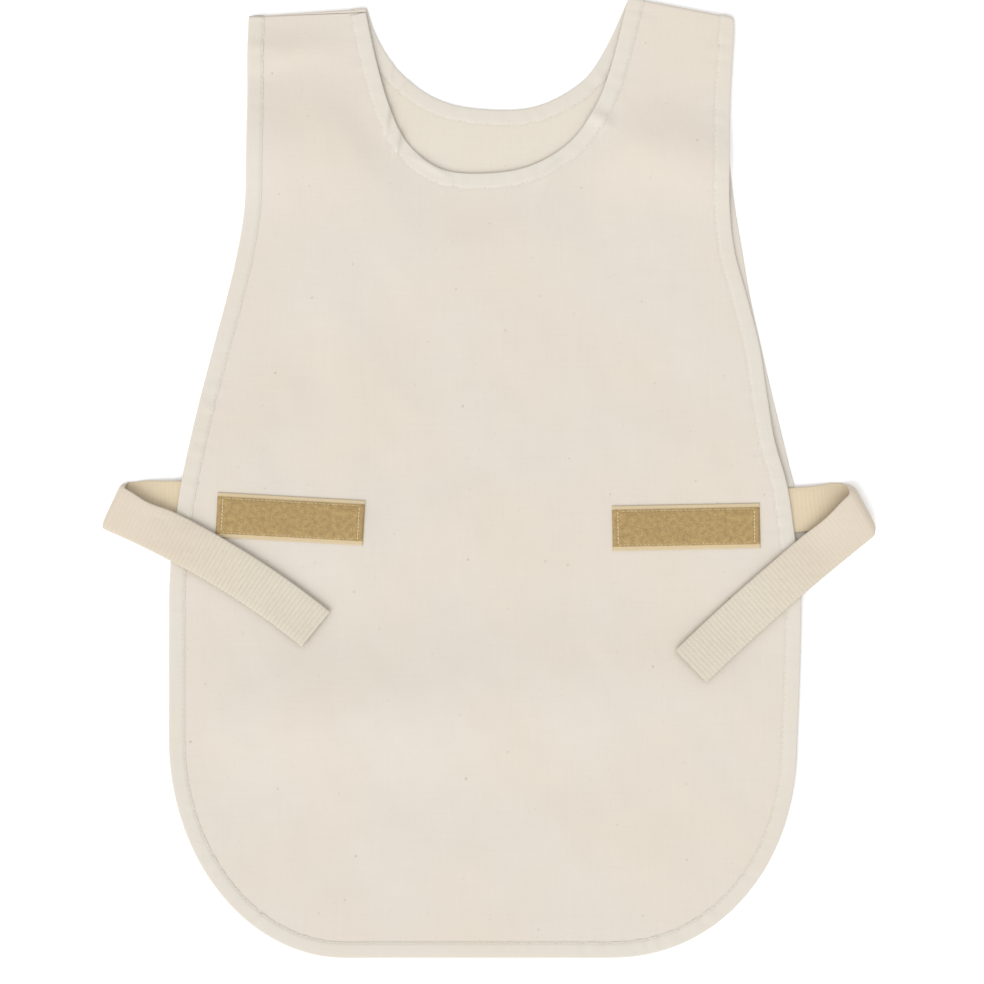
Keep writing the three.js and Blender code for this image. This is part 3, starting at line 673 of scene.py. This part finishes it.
def nap_material():
    """Loop tape: a tangle of tan loops. Two noises mix the loop tops, in a painted highlight, with the
    ground between them, in painted shade, and the finer one bumps them. The bare selvage shows along
    the long edges, which the distance across the tape, the UV's second value, finds."""
    material = selvage_cloth.copy()
    material.name = "tan loop tape"
    tree = material.node_tree
    times, plus, minus = sums(tree)
    shader = tree.nodes["Principled BSDF"]
    plain = shader.inputs["Base Color"].links[0].from_socket
    place = in_millimetres(tree, "UV")
    tangle = noise(tree, place, 1.7, 6.0)
    light = plus(times(tangle, 0.7), times(noise(tree, place, 0.35, 4.0), 0.5))
    ramp = add(tree, "ShaderNodeValToRGB", {0: light})
    for element, at, colour in zip(ramp.color_ramp.elements, (0.35, 0.85), (loop_shadow, loop_light)):
        element.position, element.color = at, colour
    across = maths(tree, "ABSOLUTE", add(tree, "ShaderNodeSeparateXYZ", {0: place}).outputs[1])
    rim = clamped(tree, times(minus(across, patch_width / 2 - selvage), 2.0))
    tree.links.new(blend_colours(tree, "MIX", rim, ramp.outputs[0], plain), shader.inputs["Base Color"])
    bump = shader.inputs["Normal"].links[0].from_node
    tree.links.new(tangle, bump.inputs["Height"])
    bump.inputs["Distance"].default_value = 0.5 * mm
    return material


rib_pitch, yarn_width, inner_face = 2.4, 1.15, 100.0


def ribbed_material():
    """Webbing: the cotton, with painted shade in the furrows between its ribs. The ribs follow the UV's
    first value, and every other yarn across is shifted by half a rib. The painted furrow shade grows
    clearer and the colour less pink away from the fold, and a noise drawn out along the ribs breaks it
    up. The inner face, whose UV is moved across by a set distance, is warmer and a little lighter:
    painted warm bounce light from inside the fold."""
    material = cloth_material(
        "cotton webbing", (0.540, 0.491, 0.411), 0.8, 0.8, 0.1, specked=0.3, coordinates="UV")
    tree = material.node_tree
    times, plus, minus = sums(tree)
    shader = tree.nodes["Principled BSDF"]
    plain = shader.inputs["Base Color"].links[0].from_socket
    source = add(tree, "ShaderNodeTexCoord").outputs["UV"]
    along, across = add(tree, "ShaderNodeSeparateXYZ", {0: source}).outputs[:2]
    turns = times(along, math.pi / (rib_pitch * mm))
    yarn = maths(tree, "SINE", times(across, math.pi / (yarn_width * mm)))
    shifted = plus(turns, times(maths(tree, "GREATER_THAN", yarn, 0.0), math.pi / 2))
    broken = plus(times(bumps(tree, turns), 0.75), times(bumps(tree, shifted), 0.25))
    uneven = noise(tree, stretched(tree, source, (700.0, 260.0, 0.0)), 1.0, 3.0)
    broken = plus(broken, times(minus(uneven, 0.5), 1.1))
    clear = add(tree, "ShaderNodeMapRange", {0: along, 1: 0.075, 2: 0.135, 3: 0.35, 4: 1.0}).outputs[0]
    # Painted shade in the furrows between the ribs, weaker near the fold.
    painted_furrow_shade = times(minus(1.0, broken), times(clear, 0.17))
    made = shaded(tree, plain, minus(1.03, painted_furrow_shade))
    made = blend_colours(tree, "MULTIPLY", minus(1.0, clear), made, (0.985, 0.93, 0.92, 1))
    # Painted warm bounce light: the inner face, seen inside the fold, is tinted warmer and a little
    # lighter.
    inner = maths(tree, "GREATER_THAN", across, inner_face / 2 * mm)
    made = blend_colours(tree, "MULTIPLY", inner, made, (1.06, 1.02, 0.88, 1))
    tree.links.new(made, shader.inputs["Base Color"])
    return material


webbing_cloth = ribbed_material()
loop_cloth = nap_material()
print("finishes:", [material.name for material in bpy.data.materials if material.users])

# %% [markdown]
# ## The two panels
# Each panel's flat pattern is a patch stretched between its four edges. Its rows crowd together
# towards the shoulder, where the cloth goes round the fold, and the grid is then laid in place.

# %% Stations along an edge
edge_inset = fold_cloth + gap
fine_step, fine_count = 0.6, 14


def graded(length, fine_start, fine_end, count):
    """Distances along an edge: even steps, with short ones at the ends that cross a fold."""
    first, last = fine_start * fine_step, length - fine_end * fine_step
    start = np.arange(fine_start) * fine_step
    end = length - np.arange(fine_end - 1, -1, -1) * fine_step
    return np.concatenate([start, np.linspace(first, last, count + 1), end])


def inset(curve, distances, depth, turn):
    """Points at distances along a curve, moved a depth into the cloth. turn is 1 where the cloth is
    on the left of the curve's way and -1 on its right."""
    length = path_length(curve)
    slope = np.gradient(curve, axis=0)
    slope /= np.linalg.norm(slope, axis=1, keepdims=True)
    normal = np.stack([-slope[:, 1], slope[:, 0]], axis=1) * turn
    at = [np.interp(distances, length, values) for values in (*curve.T, *normal.T)]
    normal = np.stack(at[2:], axis=1)
    normal /= np.linalg.norm(normal, axis=1, keepdims=True)
    return np.stack(at[:2], axis=1) + normal * np.asarray(depth)[..., None]


def pattern_grid(layer, rows, seam, neck):
    """A blended patch: hem to top by height, left to right by column, less the four corners."""
    curves = edges[layer]
    end = {name: path_length(curve)[-1] for name, curve in curves.items()}
    left = inset(curves["left"], graded(end["left"], 0, fine_count, rows), edge_inset, -1)
    right = inset(curves["right"], graded(end["right"], 0, fine_count, rows), edge_inset, 1)
    middle = inset(curves["neck"], graded(end["neck"], fine_count, fine_count, neck), edge_inset, -1)
    share = np.linspace(0, 1, seam, endpoint=False)[:, None]
    left_seam = left[-1] + (middle[0] - left[-1]) * share
    right_seam = (right[-1] + (middle[-1] - right[-1]) * share)[::-1]
    top = np.concatenate([left_seam, middle, right_seam])
    hem = inset(curves["hem"], np.linspace(0, end["hem"], len(top)), edge_inset, 1)
    hem[0], hem[-1] = left[0], right[0]
    v = ((left[:, 1] - left[0, 1]) / (left[-1, 1] - left[0, 1]))[None, :, None]
    u = np.linspace(0, 1, len(top))[:, None, None]
    across = (1 - u) * left[None] + u * right[None]
    up = (1 - v) * hem[:, None] + v * top[:, None]
    left_corners, right_corners = ((1 - v) * side[0] + v * side[-1] for side in (left, right))
    return up + across - ((1 - u) * left_corners + u * right_corners)


# %% Front and back panels
for layer, cotton, *counts in (("front", canvas_cloth, 226, 24, 84), ("back", back_cloth, 120, 14, 64)):
    grid = pattern_grid(layer, *counts)
    points, faces = two_faced(lay(layer, grid, canvas / 2), lay(layer, grid, -canvas / 2))
    new_piece(f"{layer}_canvas", points, faces, cotton)
    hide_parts(f"{layer}_panel")

# %% [markdown]
# ## The folded edging
# The edging is a strip folded in two round the raw edge, with its long sides turned under. Its
# section is a U with a round fold, a soft puff, a groove where the stitches pull it down, and an
# inner edge that comes down to the cloth. It is carried along the edge with the same laying rule
# as the panel, so that it stays on the panel's edge round the fold too.

# %% Section and paths of the edging
stitch_depth = 8.2
leg = canvas / 2 + gap
leg_places = np.array([9.0, 8.92, 8.75, 8.55, 8.35, 8.15, 7.95, 7.7, 7.3, 6.5, 5.2, 3.8, 2.4, 1.4])
puff_height, groove_depth, groove_width, lip_start, lip_drop = 0.1, 0.12, 0.3, 7.2, 0.3
fold_angles = np.radians(np.linspace(90, 270, 11))
edging_puckers = 0.11


def edging_section(puckers):
    """The U's outer and inner lines, as depths into the cloth and heights, for each ring. The legs'
    height is half the edging's thickness, plus a puff (half a sine wave) and the puckers, less a
    groove at the stitches (a bell curve) and a straight fall to the inner edge. The lower leg is
    the upper one turned over, and goes no lower than flat."""
    d = leg_places
    puff = puff_height * np.sin(np.clip(d / stitch_depth, 0, 1) * math.pi)
    groove = -groove_depth * np.exp(-(((d - stitch_depth) / groove_width) ** 2))
    lip = -lip_drop * np.clip((d - lip_start) / (edging_width - lip_start), 0, 1)
    height = edging_half + puff + groove + lip + puckers[:, None] * np.clip(d / 4, 0, 1)
    fold_out = edging_half * np.stack([1 + np.cos(fold_angles), np.sin(fold_angles)])
    fold_in = np.stack([edging_half + leg * np.cos(fold_angles), leg * np.sin(fold_angles)])
    inner_leg = np.full(len(d), leg)
    depth = np.concatenate([d, fold_out[0], d[::-1], d, fold_in[0][::-1], d[::-1]])
    under = np.maximum(-height[:, ::-1], -edging_half)
    lines = [height, fold_out[1], under, -inner_leg, fold_in[1][::-1], inner_leg]
    rings = len(puckers)
    level = np.concatenate([np.broadcast_to(line, (rings, line.shape[-1])) for line in lines], axis=1)
    return np.broadcast_to(depth, level.shape), level


side_paths = {
    layer: np.concatenate([curves["left"][::-1], curves["hem"][1:-1], curves["right"]])
    for layer, curves in edges.items()
}


def edging(layer, name, path, turn, seed, ring_step):
    """Carries the section along a finished edge, with puckers that follow the way along it."""
    length = path_length(path)[-1]
    distances = graded(length, fine_count, fine_count, round(length / ring_step))
    depth, level = edging_section(edging_puckers * pucker(distances, seed))
    flat = np.stack([inset(path, distances, column, turn) for column in depth.T], axis=1)
    points, faces = swept(lay(layer, flat, level))
    piece = new_piece(name, points, faces, edging_cloth)
    return piece


for layer, seed in (("front", 2), ("back", 8)):
    around = edging(layer, f"{layer}_side_edging", side_paths[layer], 1, seed, 1.6)
    neck = edging(layer, f"{layer}_neck_edging", edges[layer]["neck"], -1, seed + 3, 0.6)
    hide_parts(f"{layer}_side_binding")
    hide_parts(f"{layer}_neck_binding")

# %% [markdown]
# ## Stitches
# A machine stitch is a short length of thread that rises out of one hole and dives into the next.
# Each is a tiny closed spindle with six sides, and one array makes all the stitches of a seam.

# %% Stitches along a line
spindle_turns = np.arange(6) * math.tau / 6
spindle_shares = np.array([0, 0.16, 0.5, 0.84, 1])


def stitches(line, up, pitch=3.0, size=2.3, thick=0.2):
    """Spindles along a line in space. Between two neighbouring holes the thread's middle is a
    straight run plus a sine arch, and its radius swells from a quarter to full as a sine root."""
    length = path_length(line)
    centre = np.arange(pitch / 2, length[-1] - pitch / 2, pitch)
    start, end, normal = (
        np.stack([np.interp(place, length, v) for v in values.T], axis=1)
        for values, place in ((line, centre - size / 2), (line, centre + size / 2), (up, centre))
    )
    along = (end - start) / np.linalg.norm(end - start, axis=1, keepdims=True)
    across = np.cross(normal, along)
    across /= np.linalg.norm(across, axis=1, keepdims=True)
    normal = np.cross(along, across)
    wave = np.sin(math.pi * spindle_shares)
    arch = thick * (0.75 * wave - 0.2)[:, None]
    radius = thick * np.maximum(np.sqrt(wave), 0.25)[:, None, None]
    axis = start[:, None] + (end - start)[:, None] * spindle_shares[:, None] + normal[:, None] * arch
    cos, sin = np.cos(spindle_turns)[:, None], np.sin(spindle_turns)[:, None]
    ring = cos * across[:, None, None] + sin * normal[:, None, None]
    points = axis[:, :, None] + ring * radius
    _, one_faces = swept(points[0])
    count = points.shape[1] * points.shape[2]
    faces = (one_faces[None] + (np.arange(len(points)) * count)[:, None, None]).reshape(-1, 4)
    return points.reshape(-1, 3), faces


def edging_line(layer, path, turn, face):
    """The stitch line on one face of an edging, a little above the bottom of its groove, at about
    one point a millimetre, and the way up from the cloth there."""
    length = path_length(path)[-1]
    distances = graded(length, fine_count, fine_count, round(length))
    flat = inset(path, distances, np.full(len(distances), stitch_depth), turn)
    sunk = 0.3 if face > 0 else 0.42
    line = lay(layer, flat, np.full(len(flat), face * (edging_half - sunk)))
    base = lay(layer, flat, np.zeros(len(flat)))
    return line, (line - base) / np.linalg.norm(line - base, axis=1, keepdims=True)


def stitch_piece(name, lines, slot, cotton=thread, **how):
    """One piece from the stitches of several lines: each line's faces count on from the last's."""
    made = [stitches(line, up, **how) for line, up in lines]
    starts = np.cumsum([0] + [len(points) for points, _ in made[:-1]])
    faces = np.concatenate([faces + start for (_, faces), start in zip(made, starts)])
    piece = new_piece(name, np.concatenate([points for points, _ in made]), faces, cotton)
    return piece


front_thread = stitch_piece("front_topstitching", [
    edging_line("front", side_paths["front"], 1, 1),
    edging_line("front", edges["front"]["neck"], -1, 1),
], "binding")
back_thread = stitch_piece("back_topstitching", [
    edging_line("back", edges["back"]["neck"], -1, 1),
    edging_line("back", edges["back"]["neck"], -1, -1),
    edging_line("back", side_paths["back"], 1, -1),
], "binding")

# %% [markdown]
# ## Straps
# Each strap is sewn inside the back's edge, runs out, folds over on itself at an angle and lies
# down over the front. Its middle line and its width are followed from the sewn end to the free
# end, so the fold is a real half turn, and the ribs run across the webbing all the way.

# %% The middle cloth of a strap
strap_step, strap_sag, strap_softening = 0.4, 0.3, 12
strap_seat = canvas / 2 + 2 * gap + loop_tape + webbing / 2
floor_height = webbing / 2
# Past the fold, in mm: the middle and the reach of the edge's curl, and the run down to the front.
# The curl lifts the edge by a share of what it draws in.
curl_middle, curl_reach, landing_run, curl_lift = 15, 10, 34, 0.6


def across_way(side, degrees):
    """The way across a strap, upwards, for a lean from upright towards the body."""
    lean = np.radians(degrees)
    return np.stack([-side * np.sin(lean), np.cos(lean)], axis=-1)


def outward_way(side, across):
    """The way along a strap, away from the body: its way across, turned by a right angle."""
    return np.stack([across[..., 1] * side, -across[..., 0] * side], axis=-1)


def strap_middle(name, columns=33):
    """The strap's middle cloth as a grid, each row's distance from the sewn end, and the sewn
    length. The sewn run comes down to the floor, the fold is a half turn round a leaning axis whose
    radius grows across the strap, and the upper run turns slowly, curls at one edge beside the fold
    and settles on the front. At last each row moves to a quarter of the rows on both sides of it
    plus half its own place, a few times, which eases the three runs into each other."""
    row = strap_rows[name]
    side = row["side"]
    v = np.linspace(-0.5, 0.5, columns)[None, :]
    even = strap_width * v
    tuck = row["tuck"] * strap_width
    free = strap_length - tuck
    root_run = row["share"] * free - row["loop"] - webbing / 2
    upper_run = free * (1 - row["share"]) - (math.pi - 1) * loop_radius + webbing / 2
    wide = even * np.where(v > 0, row["rise"], 1.0)
    rounding = np.where(v > 0, row["top_round"], row["low_round"])
    root_height = 2 * edging_half + gap + webbing / 2
    root_out = outward_way(side, across_way(side, row["root"]))

    run = np.arange(-tuck, root_run, strap_step)
    share = smooth(run, edging_width / 4, root_run)
    across = across_way(side, row["root"] + (row["lean"] - row["root"]) * share**2)
    middle = roots[name] + root_out * run[:, None]
    spread = even + (wide - even) * share[:, None] ** 2
    height = root_height + (floor_height - root_height) * share[:, None]
    root = middle[:, None] + across[:, None] * spread[..., None], np.repeat(height, columns, axis=1)

    lean = across_way(side, row["lean"])
    axis = roots[name] + root_out * root_run
    radius = row["loop"] * (1 + 0.4 * v)
    steps = round(math.pi * loop_radius / strap_step)
    angle = np.linspace(0, math.pi, steps, endpoint=False)[:, None]
    slide = -row["slip"] * strap_width * angle / math.pi
    corner = np.clip(1 - (0.5 - np.abs(v)) * strap_width / rounding, 0, 1)
    reach = (radius - rounding * (1 - np.sqrt(1 - corner**2))) * np.sin(angle)
    flat = axis + lean * (wide + slide)[..., None] + outward_way(side, lean) * reach[..., None]
    fold = flat, floor_height + radius * (1 - np.cos(angle))

    steps = round(upper_run / strap_step)
    share = np.linspace(0, 1, steps + 1)
    slope = row["leave"] + (row["end"] - row["leave"]) * share
    heading = -outward_way(side, across_way(side, (slope[1:] + slope[:-1]) / 2)) * upper_run / steps
    start = axis - lean * row["slip"] * strap_width
    middle = start + np.concatenate([np.zeros((1, 2)), np.cumsum(heading, axis=0)])
    settle = smooth(share * upper_run, 0, strap_width)
    across = across_way(side, row["lean"] + (slope - row["lean"]) * settle)
    spread = wide + (even - wide) * settle[:, None]
    flat = middle[:, None] + across[:, None] * spread[..., None]
    beside_fold = np.exp(-(((share * upper_run - curl_middle) / curl_reach) ** 2))[:, None]
    curl = row["curl"] * beside_fold * (v + 0.5) ** 2
    flat = flat - across[:, None] * curl[..., None]
    lying = front_height(flat) + strap_seat
    lying = np.maximum(lying, lying.mean(axis=1, keepdims=True) - strap_sag)
    landing = smooth(share * upper_run, 0, landing_run)[:, None]
    upper = flat, (floor_height + 2 * radius) * (1 - landing) + lying * landing + curl_lift * curl

    flat = np.concatenate([root[0], fold[0], upper[0]])
    level = np.concatenate([root[1], fold[1], upper[1]])
    points = np.concatenate([flat, level[..., None]], axis=-1)
    for _ in range(strap_softening):
        points[1:-1] = (points[:-2] + 2 * points[1:-1] + points[2:]) / 4
    return points, path_length(points[:, columns // 2]), tuck


# %% Webbing
# The ribs grow clear between two distances from the seam, in mm. The thin selvage is a share of
# the webbing's thickness.
rib_height, clear_from, clear_to, thin_selvage = 0.09, 70, 110, 0.45
box_inset, box_sink = 4, 0.1


def strap(name):
    """A band about its middle cloth: half the webbing's thickness each way along the surface's
    normal, thinner at the selvages, with round ribs across it that are lower near the fold."""
    middle, along, tuck = strap_middle(name)
    v = np.linspace(-1, 1, middle.shape[1])[None, :]
    normal = np.cross(np.gradient(middle, axis=0), np.gradient(middle, axis=1))
    normal /= np.linalg.norm(normal, axis=-1, keepdims=True)
    rib = rib_height * (np.abs(np.sin(math.pi * along / rib_pitch))[:, None] ** 0.8 - 0.55)
    clear = 0.4 + 0.6 * smooth(along, tuck + clear_from, tuck + clear_to)[:, None]
    body = np.maximum(np.sqrt(1 - np.abs(v) ** 7), thin_selvage)
    half = (webbing / 2 * body + rib * clear * np.clip(6 * (1 - np.abs(v)), 0.25, 1))[..., None]
    points, faces = two_faced(middle + normal * half, middle - normal * half)
    across = np.broadcast_to(v * strap_width / 2, middle.shape[:2])
    uv = np.stack([np.broadcast_to(along[:, None], across.shape), across], axis=-1)
    # The far face's UV is moved across by inner_face, which gives it the painted warm bounce light.
    near_face, far_face = uv.reshape(-1, 2), uv.reshape(-1, 2) + [0, inner_face]
    both = [far_face, near_face] if strap_rows[name]["side"] > 0 else [near_face, far_face]
    piece = new_piece(f"{name}_strap_webbing", points, faces, webbing_cloth, uv=np.concatenate(both))
    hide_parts(f"{name}_strap")
    return piece, middle, normal, along


straps = {name: strap(name) for name in strap_rows}


def strap_rectangle(name, start, end, half):
    """A box of stitches on a strap's upper face: places along and across it, a little sunk in."""
    _, middle, normal, along = straps[name]
    corners = [(start, -half), (end, -half), (end, half), (start, half), (start, -half)]
    sides = [np.linspace(a, b, 60, endpoint=False) for a, b in zip(corners[:-1], corners[1:])]
    route = np.concatenate(sides)
    rows = np.interp(route[:, 0], along, np.arange(len(along))).round().astype(int)
    columns = ((route[:, 1] / strap_width + 0.5) * (middle.shape[1] - 1)).round().astype(int)
    up = normal[rows, columns] * np.sign(normal[rows[0], columns[0]][2])
    return middle[rows, columns] + up * (webbing / 2 - box_sink), up


for name in straps:
    end = straps[name][3][-1]
    box = strap_rectangle(name, end - hook_length + 1, end - box_inset, strap_width / 2 - box_inset)
    stitch_piece(f"{name}_strap_stitching", [box], "webbing", pitch=2.4, size=1.7)

# %% [markdown]
# ## Fastener tape
# Loop tape is a woven ground with a tangle of fine loops, left bare along its selvages, where it
# is sewn on. The nap is real relief on a fine grid. The hook pieces lie under the strap ends.

# %% Tape lying on the front
tape_step = 0.4


def placed(centre, turn, along, across):
    """Flat points at distances along and across a tape, turned and moved to its centre."""
    cos, sin = math.cos(turn), math.sin(turn)
    x, y = along * cos - across * sin, along * sin + across * cos
    return np.stack([centre[0] + x, centre[1] + y], axis=-1)


def tape_piece(name, material, centre, turn, size, bottom, relief):
    """A closed strip of tape: a flat grid on the front, raised by a bottom height and, on its
    upper face, by its relief at each distance along and across it."""
    ways = [np.linspace(-whole / 2, whole / 2, round(whole / tape_step) + 1) for whole in size]
    along, across = np.meshgrid(*ways, indexing="ij")
    flat = placed(centre, turn, along, across)
    ground = front_height(flat) + bottom
    upper = np.concatenate([flat, (ground + relief(along, across))[..., None]], axis=-1)
    lower = np.concatenate([flat, ground[..., None]], axis=-1)
    uv = np.concatenate([np.stack([along, across], axis=-1).reshape(-1, 2)] * 2)
    points, faces = two_faced(upper, lower)
    piece = new_piece(name, points, faces, material, uv=uv)
    return piece


seam_inset, selvage_height, pile_height, fuzz_height, furrow_depth = 3.1, 0.6, 0.75, 0.09, 0.4
nap_from_side, nap_from_end, furrow_width = (1.9, 2.7), (0.0, 1.2), 0.6
stem_turns, hook_gap = 2.6, 0.3


def nap(along, across):
    """Height of the loop tape: a thin selvage, a shoulder up to the nap, a bell-shaped furrow along
    the line of stitches, and a random fuzz on the nap. All of it is lower at the very edge."""
    from_side, from_end = patch_width / 2 - np.abs(across), patch_length / 2 - np.abs(along)
    inside = np.minimum(from_side, from_end)
    pile = smooth(from_side, *nap_from_side) * smooth(from_end, *nap_from_end)
    furrow = np.exp(-(((inside - seam_inset) / furrow_width) ** 2))
    fuzz = rng.uniform(-1, 1, along.shape)
    fuzz = fuzz + 0.5 * (np.roll(fuzz, 1, 0) + np.roll(fuzz, 1, 1))
    whole = selvage_height + (pile_height + fuzz_height * fuzz) * pile
    return whole * (0.55 + 0.45 * smooth(inside, -0.4, 0.5)) - furrow_depth * furrow * pile


# Of each patch: across in half widths, up in strap heights, and its tilt in degrees.
patch_rows = {"left": (-0.615, 0.974, -3.2), "right": (0.6356, 0.956, 1.1)}
seat, stitch_height = canvas / 2 + gap, loop_tape - 0.6
loops, tape_thread = [], []
for name, (across, up, tilt) in patch_rows.items():
    centre, turn = (across * half_width, up * strap_height), math.radians(tilt)
    size = (patch_length, patch_width)
    piece = tape_piece(f"{name}_loop_tape", loop_cloth, centre, turn, size, seat, nap)
    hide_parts(f"{name}_loop_patch")
    loops.append(piece)
    u, v = patch_length / 2 - seam_inset, patch_width / 2 - seam_inset
    corners = np.array([(-u, -v), (u, -v), (u, v), (-u, v), (-u, -v)])
    lines = []
    for start, end in zip(corners[:-1], corners[1:]):
        flat = placed(centre, turn, *np.linspace(start, end, 80).T)
        height = front_height(flat) + seat + stitch_height
        line = np.concatenate([flat, height[:, None]], axis=1)
        lines.append((line, np.tile([0.0, 0.0, 1.0], (len(line), 1))))
    for part, sides, cotton, how in (
        ("", lines[::2], tan_thread, dict(pitch=2.3, size=2.0, thick=0.16)),
        ("_end", lines[1::2], pale_thread, dict(pitch=2.0, size=1.9, thick=0.28)),
    ):
        tape_thread.append(stitch_piece(f"{name}_tape{part}_stitching", sides, "loop", cotton, **how))


def stems(along, across):
    """Height of the hook tape: a crossed pattern of stems on a plain ground."""
    return hook_tape * (0.72 + 0.28 * np.abs(np.sin(along * stem_turns) * np.sin(across * stem_turns)))


for name, (_, middle, _, _) in straps.items():
    end, before = middle[[-1, -80], middle.shape[1] // 2, :2]
    way = (before - end) / np.linalg.norm(before - end)
    centre = end + way * (hook_margin + hook_length / 2)
    turn = math.atan2(way[1], way[0])
    low = strap_seat - webbing / 2 - hook_tape - hook_gap
    size = (hook_length, strap_width - 2 * hook_margin)
    piece = tape_piece(f"{name}_hook_tape", hook_cloth, centre, turn, size, low, stems)
    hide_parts(f"{name}_hook_patch")

# %% [markdown]


# %% [markdown]
# ## Floor, light and camera
# The photograph looks straight down on the apron on a white ground, in soft light that comes
# mostly from the lower left. A wide lamp low on that side shows the swells, and the even world
# fills the shadows.

# %% Floor
floor_mesh = bpy.data.meshes.new("floor")
floor_corners = [(-4, -4, 0), (4, -4, 0), (4, 4, 0), (-4, 4, 0)]
floor_mesh.from_pydata(floor_corners, [], [(0, 1, 2, 3)])
floor = in_scene("floor", floor_mesh)
paper = bpy.data.materials.new("white paper")
paper.use_nodes = True
paper_shader = paper.node_tree.nodes["Principled BSDF"].inputs
paper_shader["Base Color"].default_value = (0.95, 0.95, 0.95, 1)
paper_shader["Roughness"].default_value = 0.9
floor_mesh.materials.append(paper)
floor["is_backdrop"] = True

# %% Light
world = bpy.data.worlds.new("studio")
bpy.context.scene.world = world
world.use_nodes = True
world.node_tree.nodes["Background"].inputs[0].default_value = (1, 1, 1, 1)
world.node_tree.nodes["Background"].inputs[1].default_value = 1.0

lamp_data = bpy.data.lights.new("low left lamp", "SUN")
lamp_data.angle, lamp_data.energy = math.radians(55), 2.0
lamp = in_scene("low left lamp", lamp_data)
lamp.location = (-1.0, -1.7, 1.5)
lamp.rotation_euler = (math.radians(50), 0, math.atan2(1.7, 1.0) - math.radians(90))
lamp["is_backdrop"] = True

# %% Camera
# The photograph shows 1.8 pixels a millimetre, the hem in row 959 and the body's middle in column 485.
pixel, frame_pixels = 1 / 1.8 * mm, 984
centre_pixel, hem_pixel, middle_pixel = frame_pixels / 2, 959, 485
aim = np.array([centre_pixel - middle_pixel, hem_pixel - centre_pixel, 0]) * pixel - pattern_middle * mm
cloth_level = 0.005
aim[2] = cloth_level
camera_data = bpy.data.cameras.new("camera")
camera_data.lens, camera_data.sensor_width = 85.0, 36.0
camera = in_scene("camera", camera_data)
distance = frame_pixels * pixel * camera_data.lens / camera_data.sensor_width
camera.location = (aim[0], aim[1], aim[2] + distance)
bpy.context.scene.camera = camera
bpy.context.scene.view_settings.view_transform = "Standard"
print("camera at", [round(v, 4) for v in camera.location])

# %% Check the size and finish
visual_box = [list(corner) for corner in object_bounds()]
grown = (np.abs(visual_box) - np.abs(cad_box)) / mm
print("visual box past the solids' box, mm:", grown.round(2).tolist())
